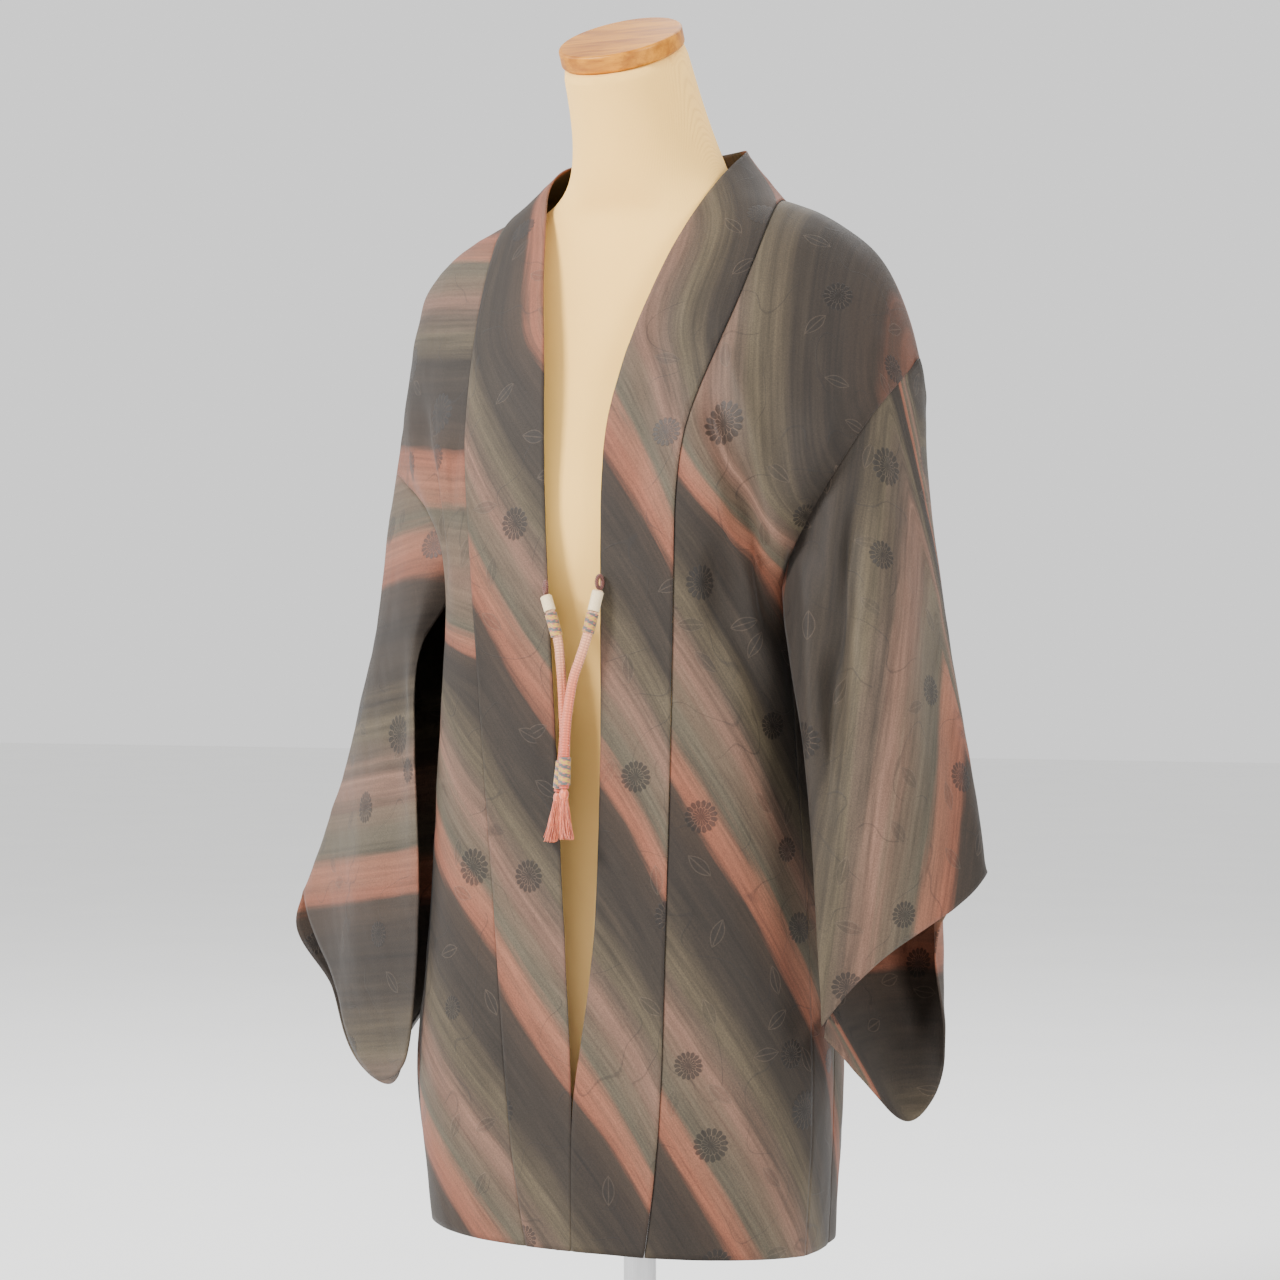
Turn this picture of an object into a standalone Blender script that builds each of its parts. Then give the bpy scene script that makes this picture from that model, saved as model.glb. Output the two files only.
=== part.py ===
"""Haori jacket of striped silk crepe, worn by a limbless dress form on a short round stand.

Metres, +Z up. The origin is the middle of the stand's underside. The jacket faces -Y and its left
side is +X. Every cloth panel is a flat cut piece draped between its seam lines, so neighbouring
panels share the same line and end in one mitred gap.
"""
import math

import bmesh
import bpy
from mathutils import Matrix, Vector
from mathutils.bvhtree import BVHTree

# ---- Driving sizes -------------------------------------------------------------------------
CLOTH = 0.0015             # thickness of a lined panel
COLLAR_RISE = 0.0011       # how far the folded collar band stands above the panels
SEAM_SHIFT = 0.00025       # each panel's edge stops this far short of its seam line
FORM_GAP = 0.0009          # least clearance worked out between cloth and form
GUSSET_TOP_EASE = 0.0016   # how far a gusset's top corners stay inside its side seams
GUSSET_TOP_DROP = 0.004    # and how far its top stays under the sleeve seam
HALF_BACK_SEAM = 0.0002    # half the gap at the centre-back seam
ARM_ROWS = 8               # cells along the armhole, shoulder to underarm
SIDE_ROWS = 13             # cells along the side seam, underarm to hem
BODY_COLUMNS = 8           # cells across a body panel
COLLAR_COLUMNS = 3         # cells across the collar band
GUSSET_COLUMNS = 2         # cells across a side gusset
SLEEVE_ROWS = 12           # cells from the armhole to the sleeve's lower edge
SETTLE_ROUNDS = 6          # rounds of lifting the cloth off the form
CELL_TESTS = 4             # parts a cell is split into when it is tested against the form
FORM_SIDES = 32            # facets round the form
BASE_RADIUS = 0.170
BASE_HEIGHT = 0.014
POLE_RADIUS = 0.0125
CAP_RADIUS = 0.0480
CAP_HEIGHT = 0.0140
CAP_TILT = math.radians(27.0)
TOUCH_GAP = 0.0003         # clearance between pieces that rest on each other
CORD_RADIUS = 0.0034
STRANDS_ACROSS = 4         # tassel strands in each direction
STRAND_GAP = 0.0008
STRAND_SPREAD = 0.45
STRAND_WAVE = 0.0002

# Stations run along a body panel: 0 front hem, 4 underarm, 6 shoulder, 7 nape, 8 underarm, 12 hem.
HEM_FRONT, UNDERARM_FRONT, SHOULDER, NAPE, UNDERARM_BACK, HEM_BACK = 0.0, 4.0, 6.0, 7.0, 8.0, 12.0

# ---- Dress form: height, half width, half depth, centre y, superellipse power, lean ---------
FORM_SECTIONS = (
    (0.215, 0.146, 0.112, 0.000, 2.25, 0.0),
    (0.255, 0.152, 0.118, 0.000, 2.25, 0.0),
    (0.310, 0.153, 0.120, 0.000, 2.25, 0.0),
    (0.400, 0.146, 0.113, 0.000, 2.25, 0.0),
    (0.480, 0.128, 0.098, -0.004, 2.2, 0.0),
    (0.550, 0.112, 0.089, -0.008, 2.15, 0.0),
    (0.610, 0.116, 0.096, -0.009, 2.2, 0.0),
    (0.670, 0.130, 0.110, -0.010, 2.25, 0.0),
    (0.725, 0.140, 0.116, -0.009, 2.25, 0.0),
    (0.780, 0.146, 0.109, -0.002, 2.2, 0.0),
    (0.830, 0.156, 0.097, 0.005, 2.1, 0.0),
    (0.870, 0.170, 0.085, 0.011, 1.95, 0.0),
    (0.895, 0.181, 0.076, 0.015, 1.80, 0.0),
    (0.914, 0.180, 0.069, 0.018, 1.65, 0.0),
    (0.929, 0.165, 0.064, 0.020, 1.55, 0.0),
    (0.942, 0.138, 0.061, 0.021, 1.50, 0.0),
    (0.953, 0.104, 0.060, 0.021, 1.65, 0.0),
    (0.965, 0.076, 0.066, 0.021, 1.85, 0.0),
    (0.984, 0.060, 0.070, 0.019, 2.0, 3.0),
    (1.005, 0.0535, 0.065, 0.010, 2.0, 8.0),
    (1.038, 0.0485, 0.056, -0.008, 2.0, 16.0),
    (1.072, 0.0465, 0.0475, -0.028, 2.0, 27.0),
)

# ---- Seam lines of the jacket: station, x, y, z ---------------------------------------------
# Collar seam up the front and round the neck, then the centre-back seam.
LEFT_SEAM = (
    (0.0, 0.069, -0.131, 0.177),
    (0.5, 0.078, -0.132, 0.237),
    (1.0, 0.083, -0.132, 0.300),
    (2.0, 0.087, -0.131, 0.440),
    (3.0, 0.090, -0.130, 0.560),
    (4.0, 0.092, -0.130, 0.671),
    (4.5, 0.0925, -0.128, 0.735),
    (5.0, 0.098, -0.119, 0.790),
    (5.25, 0.109, -0.095, 0.838),
    (5.5, 0.1175, -0.062, 0.888),
    (5.75, 0.119, -0.026, 0.936),
    (6.0, 0.112, 0.012, 0.962),
    (6.25, 0.103, 0.050, 0.960),
    (6.5, 0.080, 0.080, 0.956),
    (6.75, 0.044, 0.099, 0.952),
    (7.0, 0.000, 0.105, 0.950),
    (7.3, 0.000, 0.115, 0.905),
    (7.6, 0.000, 0.123, 0.830),
    (8.0, 0.000, 0.125, 0.690),
    (9.0, 0.000, 0.123, 0.570),
    (10.0, 0.000, 0.128, 0.440),
    (11.0, 0.000, 0.134, 0.300),
    (12.0, 0.000, 0.137, 0.172),
)
RIGHT_SEAM = (
    (0.0, -0.028, -0.130, 0.178),
    (0.5, -0.039, -0.130, 0.237),
    (1.0, -0.046, -0.130, 0.300),
    (2.0, -0.057, -0.129, 0.440),
    (3.0, -0.068, -0.127, 0.560),
    (4.0, -0.077, -0.125, 0.665),
    (4.5, -0.085, -0.119, 0.730),
    (5.0, -0.093, -0.106, 0.790),
    (5.25, -0.099, -0.086, 0.840),
    (5.5, -0.106, -0.058, 0.888),
    (5.75, -0.112, -0.026, 0.934),
    (6.0, -0.119, 0.012, 0.958),
    (6.25, -0.107, 0.050, 0.957),
    (6.5, -0.082, 0.080, 0.954),
    (6.75, -0.044, 0.099, 0.951),
    (7.0, 0.000, 0.105, 0.950),
    (7.3, 0.000, 0.115, 0.905),
    (7.6, 0.000, 0.123, 0.830),
    (8.0, 0.000, 0.125, 0.690),
    (9.0, 0.000, 0.123, 0.570),
    (10.0, 0.000, 0.128, 0.440),
    (11.0, 0.000, 0.134, 0.300),
    (12.0, 0.000, 0.137, 0.172),
)
# Free edge of the collar band: down the front opening, and the standing fold behind the neck.
LEFT_EDGE = (
    (0.0, 0.0125, -0.135, 0.178),
    (0.5, 0.0125, -0.136, 0.237),
    (1.0, 0.0140, -0.136, 0.299),
    (1.35, 0.0235, -0.136, 0.345),
    (2.0, 0.0335, -0.136, 0.440),
    (3.0, 0.036, -0.135, 0.560),
    (4.0, 0.036, -0.135, 0.671),
    (4.5, 0.035, -0.132, 0.735),
    (5.0, 0.036, -0.125, 0.790),
    (5.25, 0.042, -0.106, 0.840),
    (5.5, 0.052, -0.081, 0.890),
    (5.75, 0.060, -0.045, 0.938),
    (6.0, 0.070, 0.008, 0.984),
    (6.25, 0.071, 0.048, 1.004),
    (6.5, 0.049, 0.075, 1.007),
    (6.75, 0.026, 0.088, 1.007),
    (7.0, 0.000, 0.092, 1.006),
)
RIGHT_EDGE = (
    (0.0, 0.0113, -0.135, 0.178),
    (0.5, 0.0113, -0.136, 0.237),
    (1.0, 0.0120, -0.136, 0.299),
    (1.35, 0.0095, -0.136, 0.345),
    (2.0, 0.0045, -0.136, 0.440),
    (3.0, -0.0020, -0.135, 0.560),
    (4.0, -0.0075, -0.135, 0.665),
    (4.5, -0.012, -0.132, 0.730),
    (5.0, -0.017, -0.124, 0.790),
    (5.25, -0.025, -0.107, 0.840),
    (5.5, -0.040, -0.083, 0.890),
    (5.75, -0.057, -0.045, 0.938),
    (6.0, -0.083, 0.004, 0.985),
    (6.25, -0.076, 0.046, 1.002),
    (6.5, -0.051, 0.075, 1.006),
    (6.75, -0.026, 0.088, 1.007),
    (7.0, 0.000, 0.092, 1.006),
)
# Outer edge of a body panel: side seam, armhole, side seam.
LEFT_OUTER = (
    (0.0, 0.158, -0.045, 0.172),
    (1.0, 0.164, -0.045, 0.300),
    (2.0, 0.158, -0.045, 0.440),
    (3.0, 0.151, -0.048, 0.560),
    (4.0, 0.148, -0.062, 0.671),
    (4.3, 0.167, -0.077, 0.700),
    (4.7, 0.187, -0.080, 0.733),
    (5.0, 0.200, -0.073, 0.757),
    (5.4, 0.213, -0.052, 0.789),
    (5.7, 0.221, -0.022, 0.812),
    (6.0, 0.2246, 0.015, 0.836),
    (6.3, 0.219, 0.042, 0.812),
    (6.6, 0.209, 0.062, 0.787),
    (7.0, 0.197, 0.074, 0.757),
    (7.3, 0.187, 0.068, 0.733),
    (7.7, 0.170, 0.030, 0.700),
    (8.0, 0.156, -0.022, 0.671),
    (9.0, 0.158, -0.010, 0.560),
    (10.0, 0.158, 0.000, 0.440),
    (11.0, 0.157, 0.010, 0.300),
    (12.0, 0.151, 0.012, 0.172),
)
RIGHT_OUTER = (
    (0.0, -0.145, -0.061, 0.186),
    (1.0, -0.154, -0.066, 0.300),
    (2.0, -0.145, -0.056, 0.440),
    (3.0, -0.137, -0.056, 0.560),
    (4.0, -0.124, -0.072, 0.657),
    (4.3, -0.126, -0.076, 0.685),
    (4.6, -0.135, -0.071, 0.708),
    (5.0, -0.160, -0.052, 0.731),
    (5.5, -0.197, -0.021, 0.752),
    (6.0, -0.2242, 0.015, 0.762),
    (6.5, -0.210, 0.054, 0.744),
    (7.0, -0.192, 0.080, 0.722),
    (7.5, -0.168, 0.050, 0.698),
    (8.0, -0.146, -0.030, 0.657),
    (9.0, -0.156, -0.010, 0.560),
    (10.0, -0.163, 0.004, 0.440),
    (11.0, -0.181, 0.017, 0.300),
    (12.0, -0.166, 0.019, 0.175),
)
# Line of a shoulder: share of the row, share across, share down. Elsewhere a row is partly a
# quarter ellipse: station, share of it.
LEFT_SHOULDER = ((0.0, 0.0, 0.0), (0.3, 0.36, 0.125), (0.6, 0.635, 0.29), (0.75, 0.765, 0.43),
                 (0.88, 0.88, 0.65), (1.0, 1.0, 1.0))
RIGHT_SHOULDER = ((0.0, 0.0, 0.0), (0.25, 0.40, 0.10), (0.4, 0.575, 0.165), (0.5, 0.69, 0.235),
                  (0.62, 0.745, 0.33), (0.75, 0.78, 0.50), (0.88, 0.875, 0.74), (1.0, 1.0, 1.0))
SHOULDER_REACH = 0.9       # stations over which a shoulder's own line fades to a quarter ellipse
ROUND = ((0.0, 0.85), (4.0, 0.80), (5.0, 0.75), (6.0, 0.90), (7.0, 0.80), (8.0, 0.95), (12.0, 0.97))
# How far a side gusset stands out at its middle: station, depth.
LEFT_GUSSET_BOW = ((0.0, 0.004), (1.0, 0.005), (2.0, 0.005), (3.0, 0.003), (4.0, 0.001))
RIGHT_GUSSET_BOW = ((0.0, 0.014), (1.0, 0.022), (1.6, 0.014), (2.0, 0.009), (3.0, 0.004), (4.0, 0.001))

# ---- Sleeves: each edge as share of its length, x, y, z -------------------------------------
LEFT_FOLD = (
    (0.0, 0.2246, 0.015, 0.836),
    (0.19, 0.2315, 0.015, 0.766),
    (0.34, 0.2400, 0.015, 0.709),
    (0.48, 0.2500, 0.015, 0.655),
    (0.64, 0.2605, 0.015, 0.597),
    (0.80, 0.2742, 0.015, 0.538),
    (1.0, 0.2875, 0.015, 0.466),
)
LEFT_FRONT_INNER = (
    (0.0, 0.148, -0.062, 0.671),
    (0.14, 0.162, -0.085, 0.626),
    (0.28, 0.174, -0.095, 0.583),
    (0.42, 0.183, -0.100, 0.540),
    (0.78, 0.192, -0.100, 0.417),
    (0.92, 0.193, -0.095, 0.370),
    (1.0, 0.191, -0.090, 0.347),
)
LEFT_FRONT_LOWER = (
    (0.0, 0.191, -0.090, 0.347),
    (0.25, 0.2146, -0.085, 0.378),
    (0.50, 0.243, -0.065, 0.4066),
    (0.75, 0.268, -0.030, 0.429),
    (0.875, 0.279, -0.008, 0.4435),
    (1.0, 0.2875, 0.015, 0.466),
)
LEFT_BACK_INNER = (
    (0.0, 0.156, -0.022, 0.671),
    (0.14, 0.161, 0.018, 0.636),
    (0.32, 0.161, 0.058, 0.575),
    (0.50, 0.163, 0.070, 0.500),
    (0.66, 0.166, 0.058, 0.430),
    (0.80, 0.170, 0.024, 0.382),
    (0.91, 0.175, -0.035, 0.356),
    (1.0, 0.188, -0.076, 0.338),
)
LEFT_BACK_LOWER = (
    (0.0, 0.188, -0.076, 0.338),
    (0.125, 0.1995, -0.052, 0.314),
    (0.25, 0.2104, -0.030, 0.292),
    (0.375, 0.2190, -0.010, 0.271),
    (0.50, 0.2275, 0.006, 0.267),
    (0.625, 0.2412, 0.036, 0.302),
    (0.75, 0.2275, 0.046, 0.367),
    (0.875, 0.2170, 0.052, 0.414),
    (1.0, 0.2875, 0.015, 0.466),
)
RIGHT_FOLD = (
    (0.0, -0.2242, 0.015, 0.762),
    (0.20, -0.2298, 0.015, 0.690),
    (0.34, -0.2363, 0.015, 0.642),
    (0.49, -0.2532, 0.015, 0.591),
    (0.64, -0.2682, 0.015, 0.540),
    (0.84, -0.2917, 0.015, 0.475),
    (1.0, -0.3127, 0.015, 0.424),
)
RIGHT_FRONT_INNER = (
    (0.0, -0.124, -0.072, 0.657),
    (0.12, -0.1437, -0.095, 0.618),
    (0.40, -0.140, -0.102, 0.520),
    (0.62, -0.1364, -0.102, 0.440),
    (0.82, -0.140, -0.102, 0.365),
    (1.0, -0.148, -0.100, 0.303),
)
RIGHT_FRONT_LOWER = (
    (0.0, -0.148, -0.100, 0.303),
    (0.12, -0.1756, -0.080, 0.284),
    (0.22, -0.195, -0.070, 0.2845),
    (0.38, -0.224, -0.055, 0.305),
    (0.50, -0.2392, -0.045, 0.3265),
    (0.62, -0.2529, -0.030, 0.352),
    (0.86, -0.2960, 0.000, 0.394),
    (1.0, -0.3127, 0.015, 0.424),
)
RIGHT_BACK_INNER = (
    (0.0, -0.146, -0.030, 0.657),
    (0.14, -0.162, 0.014, 0.618),
    (0.32, -0.166, 0.054, 0.555),
    (0.50, -0.174, 0.074, 0.475),
    (0.66, -0.186, 0.066, 0.400),
    (0.80, -0.197, 0.030, 0.348),
    (0.91, -0.194, -0.030, 0.318),
    (1.0, -0.170, -0.072, 0.300),
)
RIGHT_BACK_LOWER = (
    (0.0, -0.170, -0.072, 0.300),
    (0.14, -0.2005, -0.032, 0.276),
    (0.26, -0.228, -0.010, 0.2727),
    (0.40, -0.2642, 0.010, 0.291),
    (0.52, -0.2816, 0.020, 0.318),
    (0.64, -0.2893, 0.025, 0.348),
    (0.80, -0.3205, 0.030, 0.3727),
    (0.91, -0.3372, 0.026, 0.402),
    (1.0, -0.3127, 0.015, 0.424),
)
# Swell of a sleeve layer at its middle: x, y, z.
LEFT_FRONT_SWELL = (0.006, -0.016, 0.0)
LEFT_BACK_SWELL = (-0.014, 0.014, 0.0)
RIGHT_FRONT_SWELL = (-0.002, -0.018, 0.0)
RIGHT_BACK_SWELL = (0.002, 0.030, 0.0)

# ---- Largest folds: share across, first, last, outward depth, half width --------------------
# On a body panel first and last are stations; on a sleeve they are shares of its length and the
# share across runs from the front inner edge (0) over the fold (1) to the back inner edge (2).
LEFT_BODY_FOLDS = (
    (0.40, 3.1, 5.2, -0.013, 0.17),
    (0.78, 4.1, 5.9, 0.008, 0.14),
    (0.35, 4.9, 6.1, -0.005, 0.12),
    (0.30, 8.6, 13.0, 0.008, 0.13),
    (0.62, 8.2, 13.0, -0.008, 0.14),
    (0.86, 7.2, 9.0, -0.006, 0.12),
    (0.45, 6.9, 8.8, -0.007, 0.13),
)
RIGHT_BODY_FOLDS = (
    (0.30, 3.7, 5.7, 0.007, 0.11),
    (0.56, 3.9, 5.5, -0.009, 0.11),
    (0.80, 4.2, 5.8, 0.006, 0.12),
    (0.34, 8.6, 13.0, 0.008, 0.13),
    (0.66, 8.2, 13.0, -0.008, 0.14),
    (0.84, 7.2, 9.0, -0.006, 0.12),
    (0.45, 6.9, 8.8, -0.007, 0.13),
)
LEFT_SLEEVE_FOLDS = (
    (0.27, -0.1, 0.85, -0.014, 0.13),
    (0.62, 0.10, 0.90, 0.005, 0.18),
    (1.38, -0.1, 0.80, -0.010, 0.16),
    (1.72, 0.10, 0.95, 0.008, 0.14),
)
RIGHT_SLEEVE_FOLDS = (
    (0.34, 0.00, 0.80, -0.010, 0.14),
    (0.66, 0.20, 0.95, 0.005, 0.18),
    (1.36, -0.1, 0.80, -0.010, 0.16),
    (1.72, 0.10, 0.95, 0.008, 0.14),
)

# ---- Ties: x, y, z down each cord -----------------------------------------------------------
LEFT_CORD = (
    (0.0377, -0.1437, 0.6622),
    (0.0351, -0.1468, 0.6465),
    (0.0322, -0.1500, 0.6300),
    (0.0272, -0.1520, 0.6130),
    (0.0225, -0.1535, 0.5985),
    (0.0192, -0.1545, 0.5800),
    (0.0172, -0.1552, 0.5620),
    (0.0168, -0.1560, 0.5430),
    (0.0172, -0.1580, 0.5180),
)
RIGHT_CORD = (
    (-0.0052, -0.1445, 0.6585),
    (-0.0010, -0.1455, 0.6470),
    (0.0055, -0.1460, 0.6270),
    (0.0078, -0.1460, 0.6090),
    (0.0092, -0.1460, 0.5920),
    (0.0100, -0.1458, 0.5740),
    (0.0104, -0.1454, 0.5570),
    (0.0088, -0.1448, 0.5400),
    (0.0052, -0.1440, 0.5150),
)
# A wrap's two ends as shares of its cord's straight segment: segment number, from, to.
UPPER_WRAP = (1, 0.10, 0.90)
LOWER_WRAP = (7, 0.10, 0.90)
WRAP_WALL = 0.0010
# Where a loop is sewn to the collar's face, and the level direction it stands out in.
LEFT_LOOP = ((0.0380, -0.1375, 0.6682), (0.0, -1.0))
RIGHT_LOOP = ((-0.0098, -0.1375, 0.6642), (0.6, -0.8))
LOOP_RADIUS = 0.0046
LOOP_THICKNESS = 0.0014
LOOP_SIDES = 14
TASSEL_LENGTH = 0.040
TASSEL_HEAD = 0.008
TASSEL_RADIUS = 0.0044

MATERIALS = {
    "crepe": ((0.105, 0.098, 0.096, 1.0), 0.75),
    "jersey": ((0.86, 0.74, 0.52, 1.0), 0.85),
    "cap_wood": ((0.62, 0.36, 0.13, 1.0), 0.40),
    "stand_wood": ((0.55, 0.36, 0.18, 1.0), 0.45),
    "stand_steel": ((0.62, 0.62, 0.63, 1.0), 0.30),
    "braid": ((0.80, 0.52, 0.44, 1.0), 0.60),
    "wrap_thread": ((0.62, 0.52, 0.38, 1.0), 0.60),
    "tassel_silk": ((0.78, 0.33, 0.26, 1.0), 0.55),
    "loop_cord": ((0.30, 0.15, 0.10, 1.0), 0.60),
}


def clear_scene():
    """Remove what the file opens with."""
    for obj in list(bpy.data.objects):
        bpy.data.objects.remove(obj, do_unlink=True)
    for mesh in list(bpy.data.meshes):
        bpy.data.meshes.remove(mesh)


def new_collection(name):
    made = bpy.data.collections.new(name)
    bpy.context.scene.collection.children.link(made)
    return made


def finish_object(obj, material_name, smooth=True):
    """Link an object, give it a material of its own and shade it."""
    colour, roughness = MATERIALS[material_name]
    material = bpy.data.materials.new(obj.name)
    material.use_nodes = True
    shader = material.node_tree.nodes["Principled BSDF"]
    shader.inputs["Base Color"].default_value = colour
    shader.inputs["Roughness"].default_value = roughness
    obj.data.materials.append(material)
    PARTS.objects.link(obj)
    if smooth and obj.type == "MESH":
        for face in obj.data.polygons:
            face.use_smooth = True
    return obj


def mesh_object(name, bm, material_name, smooth=True):
    """Turn a bmesh into a named, outward-facing object."""
    bmesh.ops.recalc_face_normals(bm, faces=bm.faces)
    mesh = bpy.data.meshes.new(name)
    bm.to_mesh(mesh)
    bm.free()
    return finish_object(bpy.data.objects.new(name, mesh), material_name, smooth)


# ---- Reading a table ------------------------------------------------------------------------
def slope(before, after):
    """Monotone slope between two chords."""
    if before * after <= 0.0:
        return 0.0
    return 2.0 * before * after / (before + after)


def read(table, at):
    """Smooth values of a table at a position, without overshoot."""
    last = len(table) - 1
    if at <= table[0][0]:
        return table[0][1:]
    if at >= table[last][0]:
        return table[last][1:]
    k = max(i for i in range(last) if table[i][0] <= at)
    width = table[k + 1][0] - table[k][0]
    t = (at - table[k][0]) / width
    values = []
    for c in range(1, len(table[0])):
        chord = (table[k + 1][c] - table[k][c]) / width
        left = chord
        right = chord
        if k > 0:
            left = slope((table[k][c] - table[k - 1][c]) / (table[k][0] - table[k - 1][0]), chord)
        if k + 1 < last:
            right = slope(chord, (table[k + 2][c] - table[k + 1][c])
                          / (table[k + 2][0] - table[k + 1][0]))
        h00 = 2 * t ** 3 - 3 * t ** 2 + 1
        h10 = t ** 3 - 2 * t ** 2 + t
        h01 = 3 * t ** 2 - 2 * t ** 3
        h11 = t ** 3 - t ** 2
        values.append(h00 * table[k][c] + h10 * width * left
                      + h01 * table[k + 1][c] + h11 * width * right)
    return tuple(values)


def point(table, at):
    return Vector(read(table, at))


# ---- Dress form -----------------------------------------------------------------------------
def off_form(p, clearance):
    """Move a point straight out of the form until it is clear of it."""
    spot, normal, _, distance = FORM_TREE.find_nearest(p)
    outside = (p - spot).dot(normal) > 0.0
    if outside and distance >= clearance:
        return p
    away = (p - spot).normalized() if outside and distance > 1e-6 else normal
    return spot + away * clearance


def settle(grid, clearance):
    """Lift a grid of points, None where it has none, until its cells clear the form too."""
    shares = [k / CELL_TESTS for k in range(CELL_TESTS + 1)]
    for _ in range(SETTLE_ROUNDS):
        lifts = [[Vector((0.0, 0.0, 0.0)) for _ in row] for row in grid]
        for i in range(len(grid) - 1):
            for j in range(len(grid[0]) - 1):
                places = [(i, j), (i, j + 1), (i + 1, j), (i + 1, j + 1)]
                corners = [grid[k][m] for k, m in places]
                if any(corner is None for corner in corners):
                    continue
                for a in shares:
                    for b in shares:
                        spot = corners[0].lerp(corners[1], b).lerp(corners[2].lerp(corners[3], b), a)
                        lift = off_form(spot, clearance) - spot
                        for k, m in places:
                            if lift.length > lifts[k][m].length:
                                lifts[k][m] = lift
        for row, line in zip(grid, lifts):
            for m, lift in enumerate(line):
                if row[m] is not None:
                    row[m] = off_form(row[m] + lift, clearance)
    return grid


def build_form():
    """Torso and neck: a loft of level sections that lean forward at the neck."""
    bm = bmesh.new()
    rings = []
    for z, half_width, half_depth, centre_y, power, tilt in FORM_SECTIONS:
        lean = math.tan(math.radians(tilt))
        ring = []
        for k in range(FORM_SIDES):
            angle = 2.0 * math.pi * k / FORM_SIDES
            c = math.cos(angle)
            s = math.sin(angle)
            x = math.copysign(abs(c) ** (2.0 / power), c) * half_width
            y = math.copysign(abs(s) ** (2.0 / power), s) * half_depth
            ring.append(bm.verts.new((x, y + centre_y, z + y * lean)))
        rings.append(ring)
    for lower, upper in zip(rings, rings[1:]):
        for k in range(FORM_SIDES):
            m = (k + 1) % FORM_SIDES
            bm.faces.new((lower[k], lower[m], upper[m], upper[k]))
    bm.faces.new(rings[0])
    bm.faces.new(rings[-1])
    bmesh.ops.recalc_face_normals(bm, faces=bm.faces)
    bmesh.ops.triangulate(bm, faces=bm.faces)
    tree = BVHTree.FromBMesh(bm)
    mesh_object("form_torso", bm, "jersey")
    return tree


def build_cap():
    """Turned wooden cap on the leaning neck."""
    z, _, _, centre_y, _, _ = FORM_SECTIONS[-1]
    bm = bmesh.new()
    bmesh.ops.create_cone(bm, cap_ends=True, segments=FORM_SIDES, radius1=CAP_RADIUS,
                          radius2=CAP_RADIUS, depth=CAP_HEIGHT)
    rim = [e for e in bm.edges if abs(e.verts[0].co.z - e.verts[1].co.z) < 1e-6]
    bmesh.ops.bevel(bm, geom=rim, offset=0.0022, segments=2, profile=0.5, affect="EDGES",
                    material=-1)
    turn = Matrix.Rotation(CAP_TILT, 4, "X")
    seat = turn @ Vector((0.0, 0.0, TOUCH_GAP + CAP_HEIGHT / 2.0))
    bmesh.ops.transform(bm, matrix=Matrix.Translation(Vector((0.0, centre_y, z)) + seat) @ turn,
                        verts=bm.verts)
    return mesh_object("neck_cap", bm, "cap_wood")


def build_stand():
    """Round base and pole under the form."""
    bm = bmesh.new()
    bmesh.ops.create_cone(bm, cap_ends=True, segments=48, radius1=BASE_RADIUS,
                          radius2=BASE_RADIUS, depth=BASE_HEIGHT)
    rim = [e for e in bm.edges if min(v.co.z for v in e.verts) > 0.0]
    bmesh.ops.bevel(bm, geom=rim, offset=0.005, segments=3, profile=0.5, affect="EDGES",
                    material=-1)
    bmesh.ops.translate(bm, vec=(0.0, 0.0, BASE_HEIGHT / 2.0), verts=bm.verts)
    mesh_object("stand_base", bm, "stand_wood")
    foot = BASE_HEIGHT + TOUCH_GAP
    top = FORM_SECTIONS[0][0] - TOUCH_GAP
    bm = bmesh.new()
    bmesh.ops.create_cone(bm, cap_ends=True, segments=24, radius1=POLE_RADIUS,
                          radius2=POLE_RADIUS, depth=top - foot)
    bmesh.ops.translate(bm, vec=(0.0, 0.0, (top + foot) / 2.0), verts=bm.verts)
    mesh_object("stand_pole", bm, "stand_steel")


# ---- Cloth ----------------------------------------------------------------------------------
def grid_normals(grid, flip):
    """Unit normals of a grid of points, outward when flip is set rightly."""
    rows = len(grid)
    columns = len(grid[0])
    normals = []
    for i in range(rows):
        line = []
        for j in range(columns):
            down = grid[min(i + 1, rows - 1)][j] - grid[max(i - 1, 0)][j]
            side = grid[i][min(j + 1, columns - 1)] - grid[i][max(j - 1, 0)]
            n = down.cross(side) if flip else side.cross(down)
            line.append(n.normalized())
        normals.append(line)
    return normals


def window(at, first, last):
    """Smooth rise and fall between two positions."""
    if at <= first or at >= last:
        return 0.0
    return math.sin(math.pi * (at - first) / (last - first)) ** 1.2


def add_folds(grid, normals, folds, lengthwise, crosswise, fade):
    """Push the grid in or out along the folds; the seam lines stay where they are."""
    for i, row in enumerate(grid):
        for j in range(len(row)):
            push = 0.0
            for across, first, last, depth, half in folds:
                spread = math.exp(-((crosswise[j] - across) / half) ** 2)
                push += depth * spread * window(lengthwise[i], first, last)
            row[j] = row[j] + normals[i][j] * push * fade(i, j)
    return grid


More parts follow.
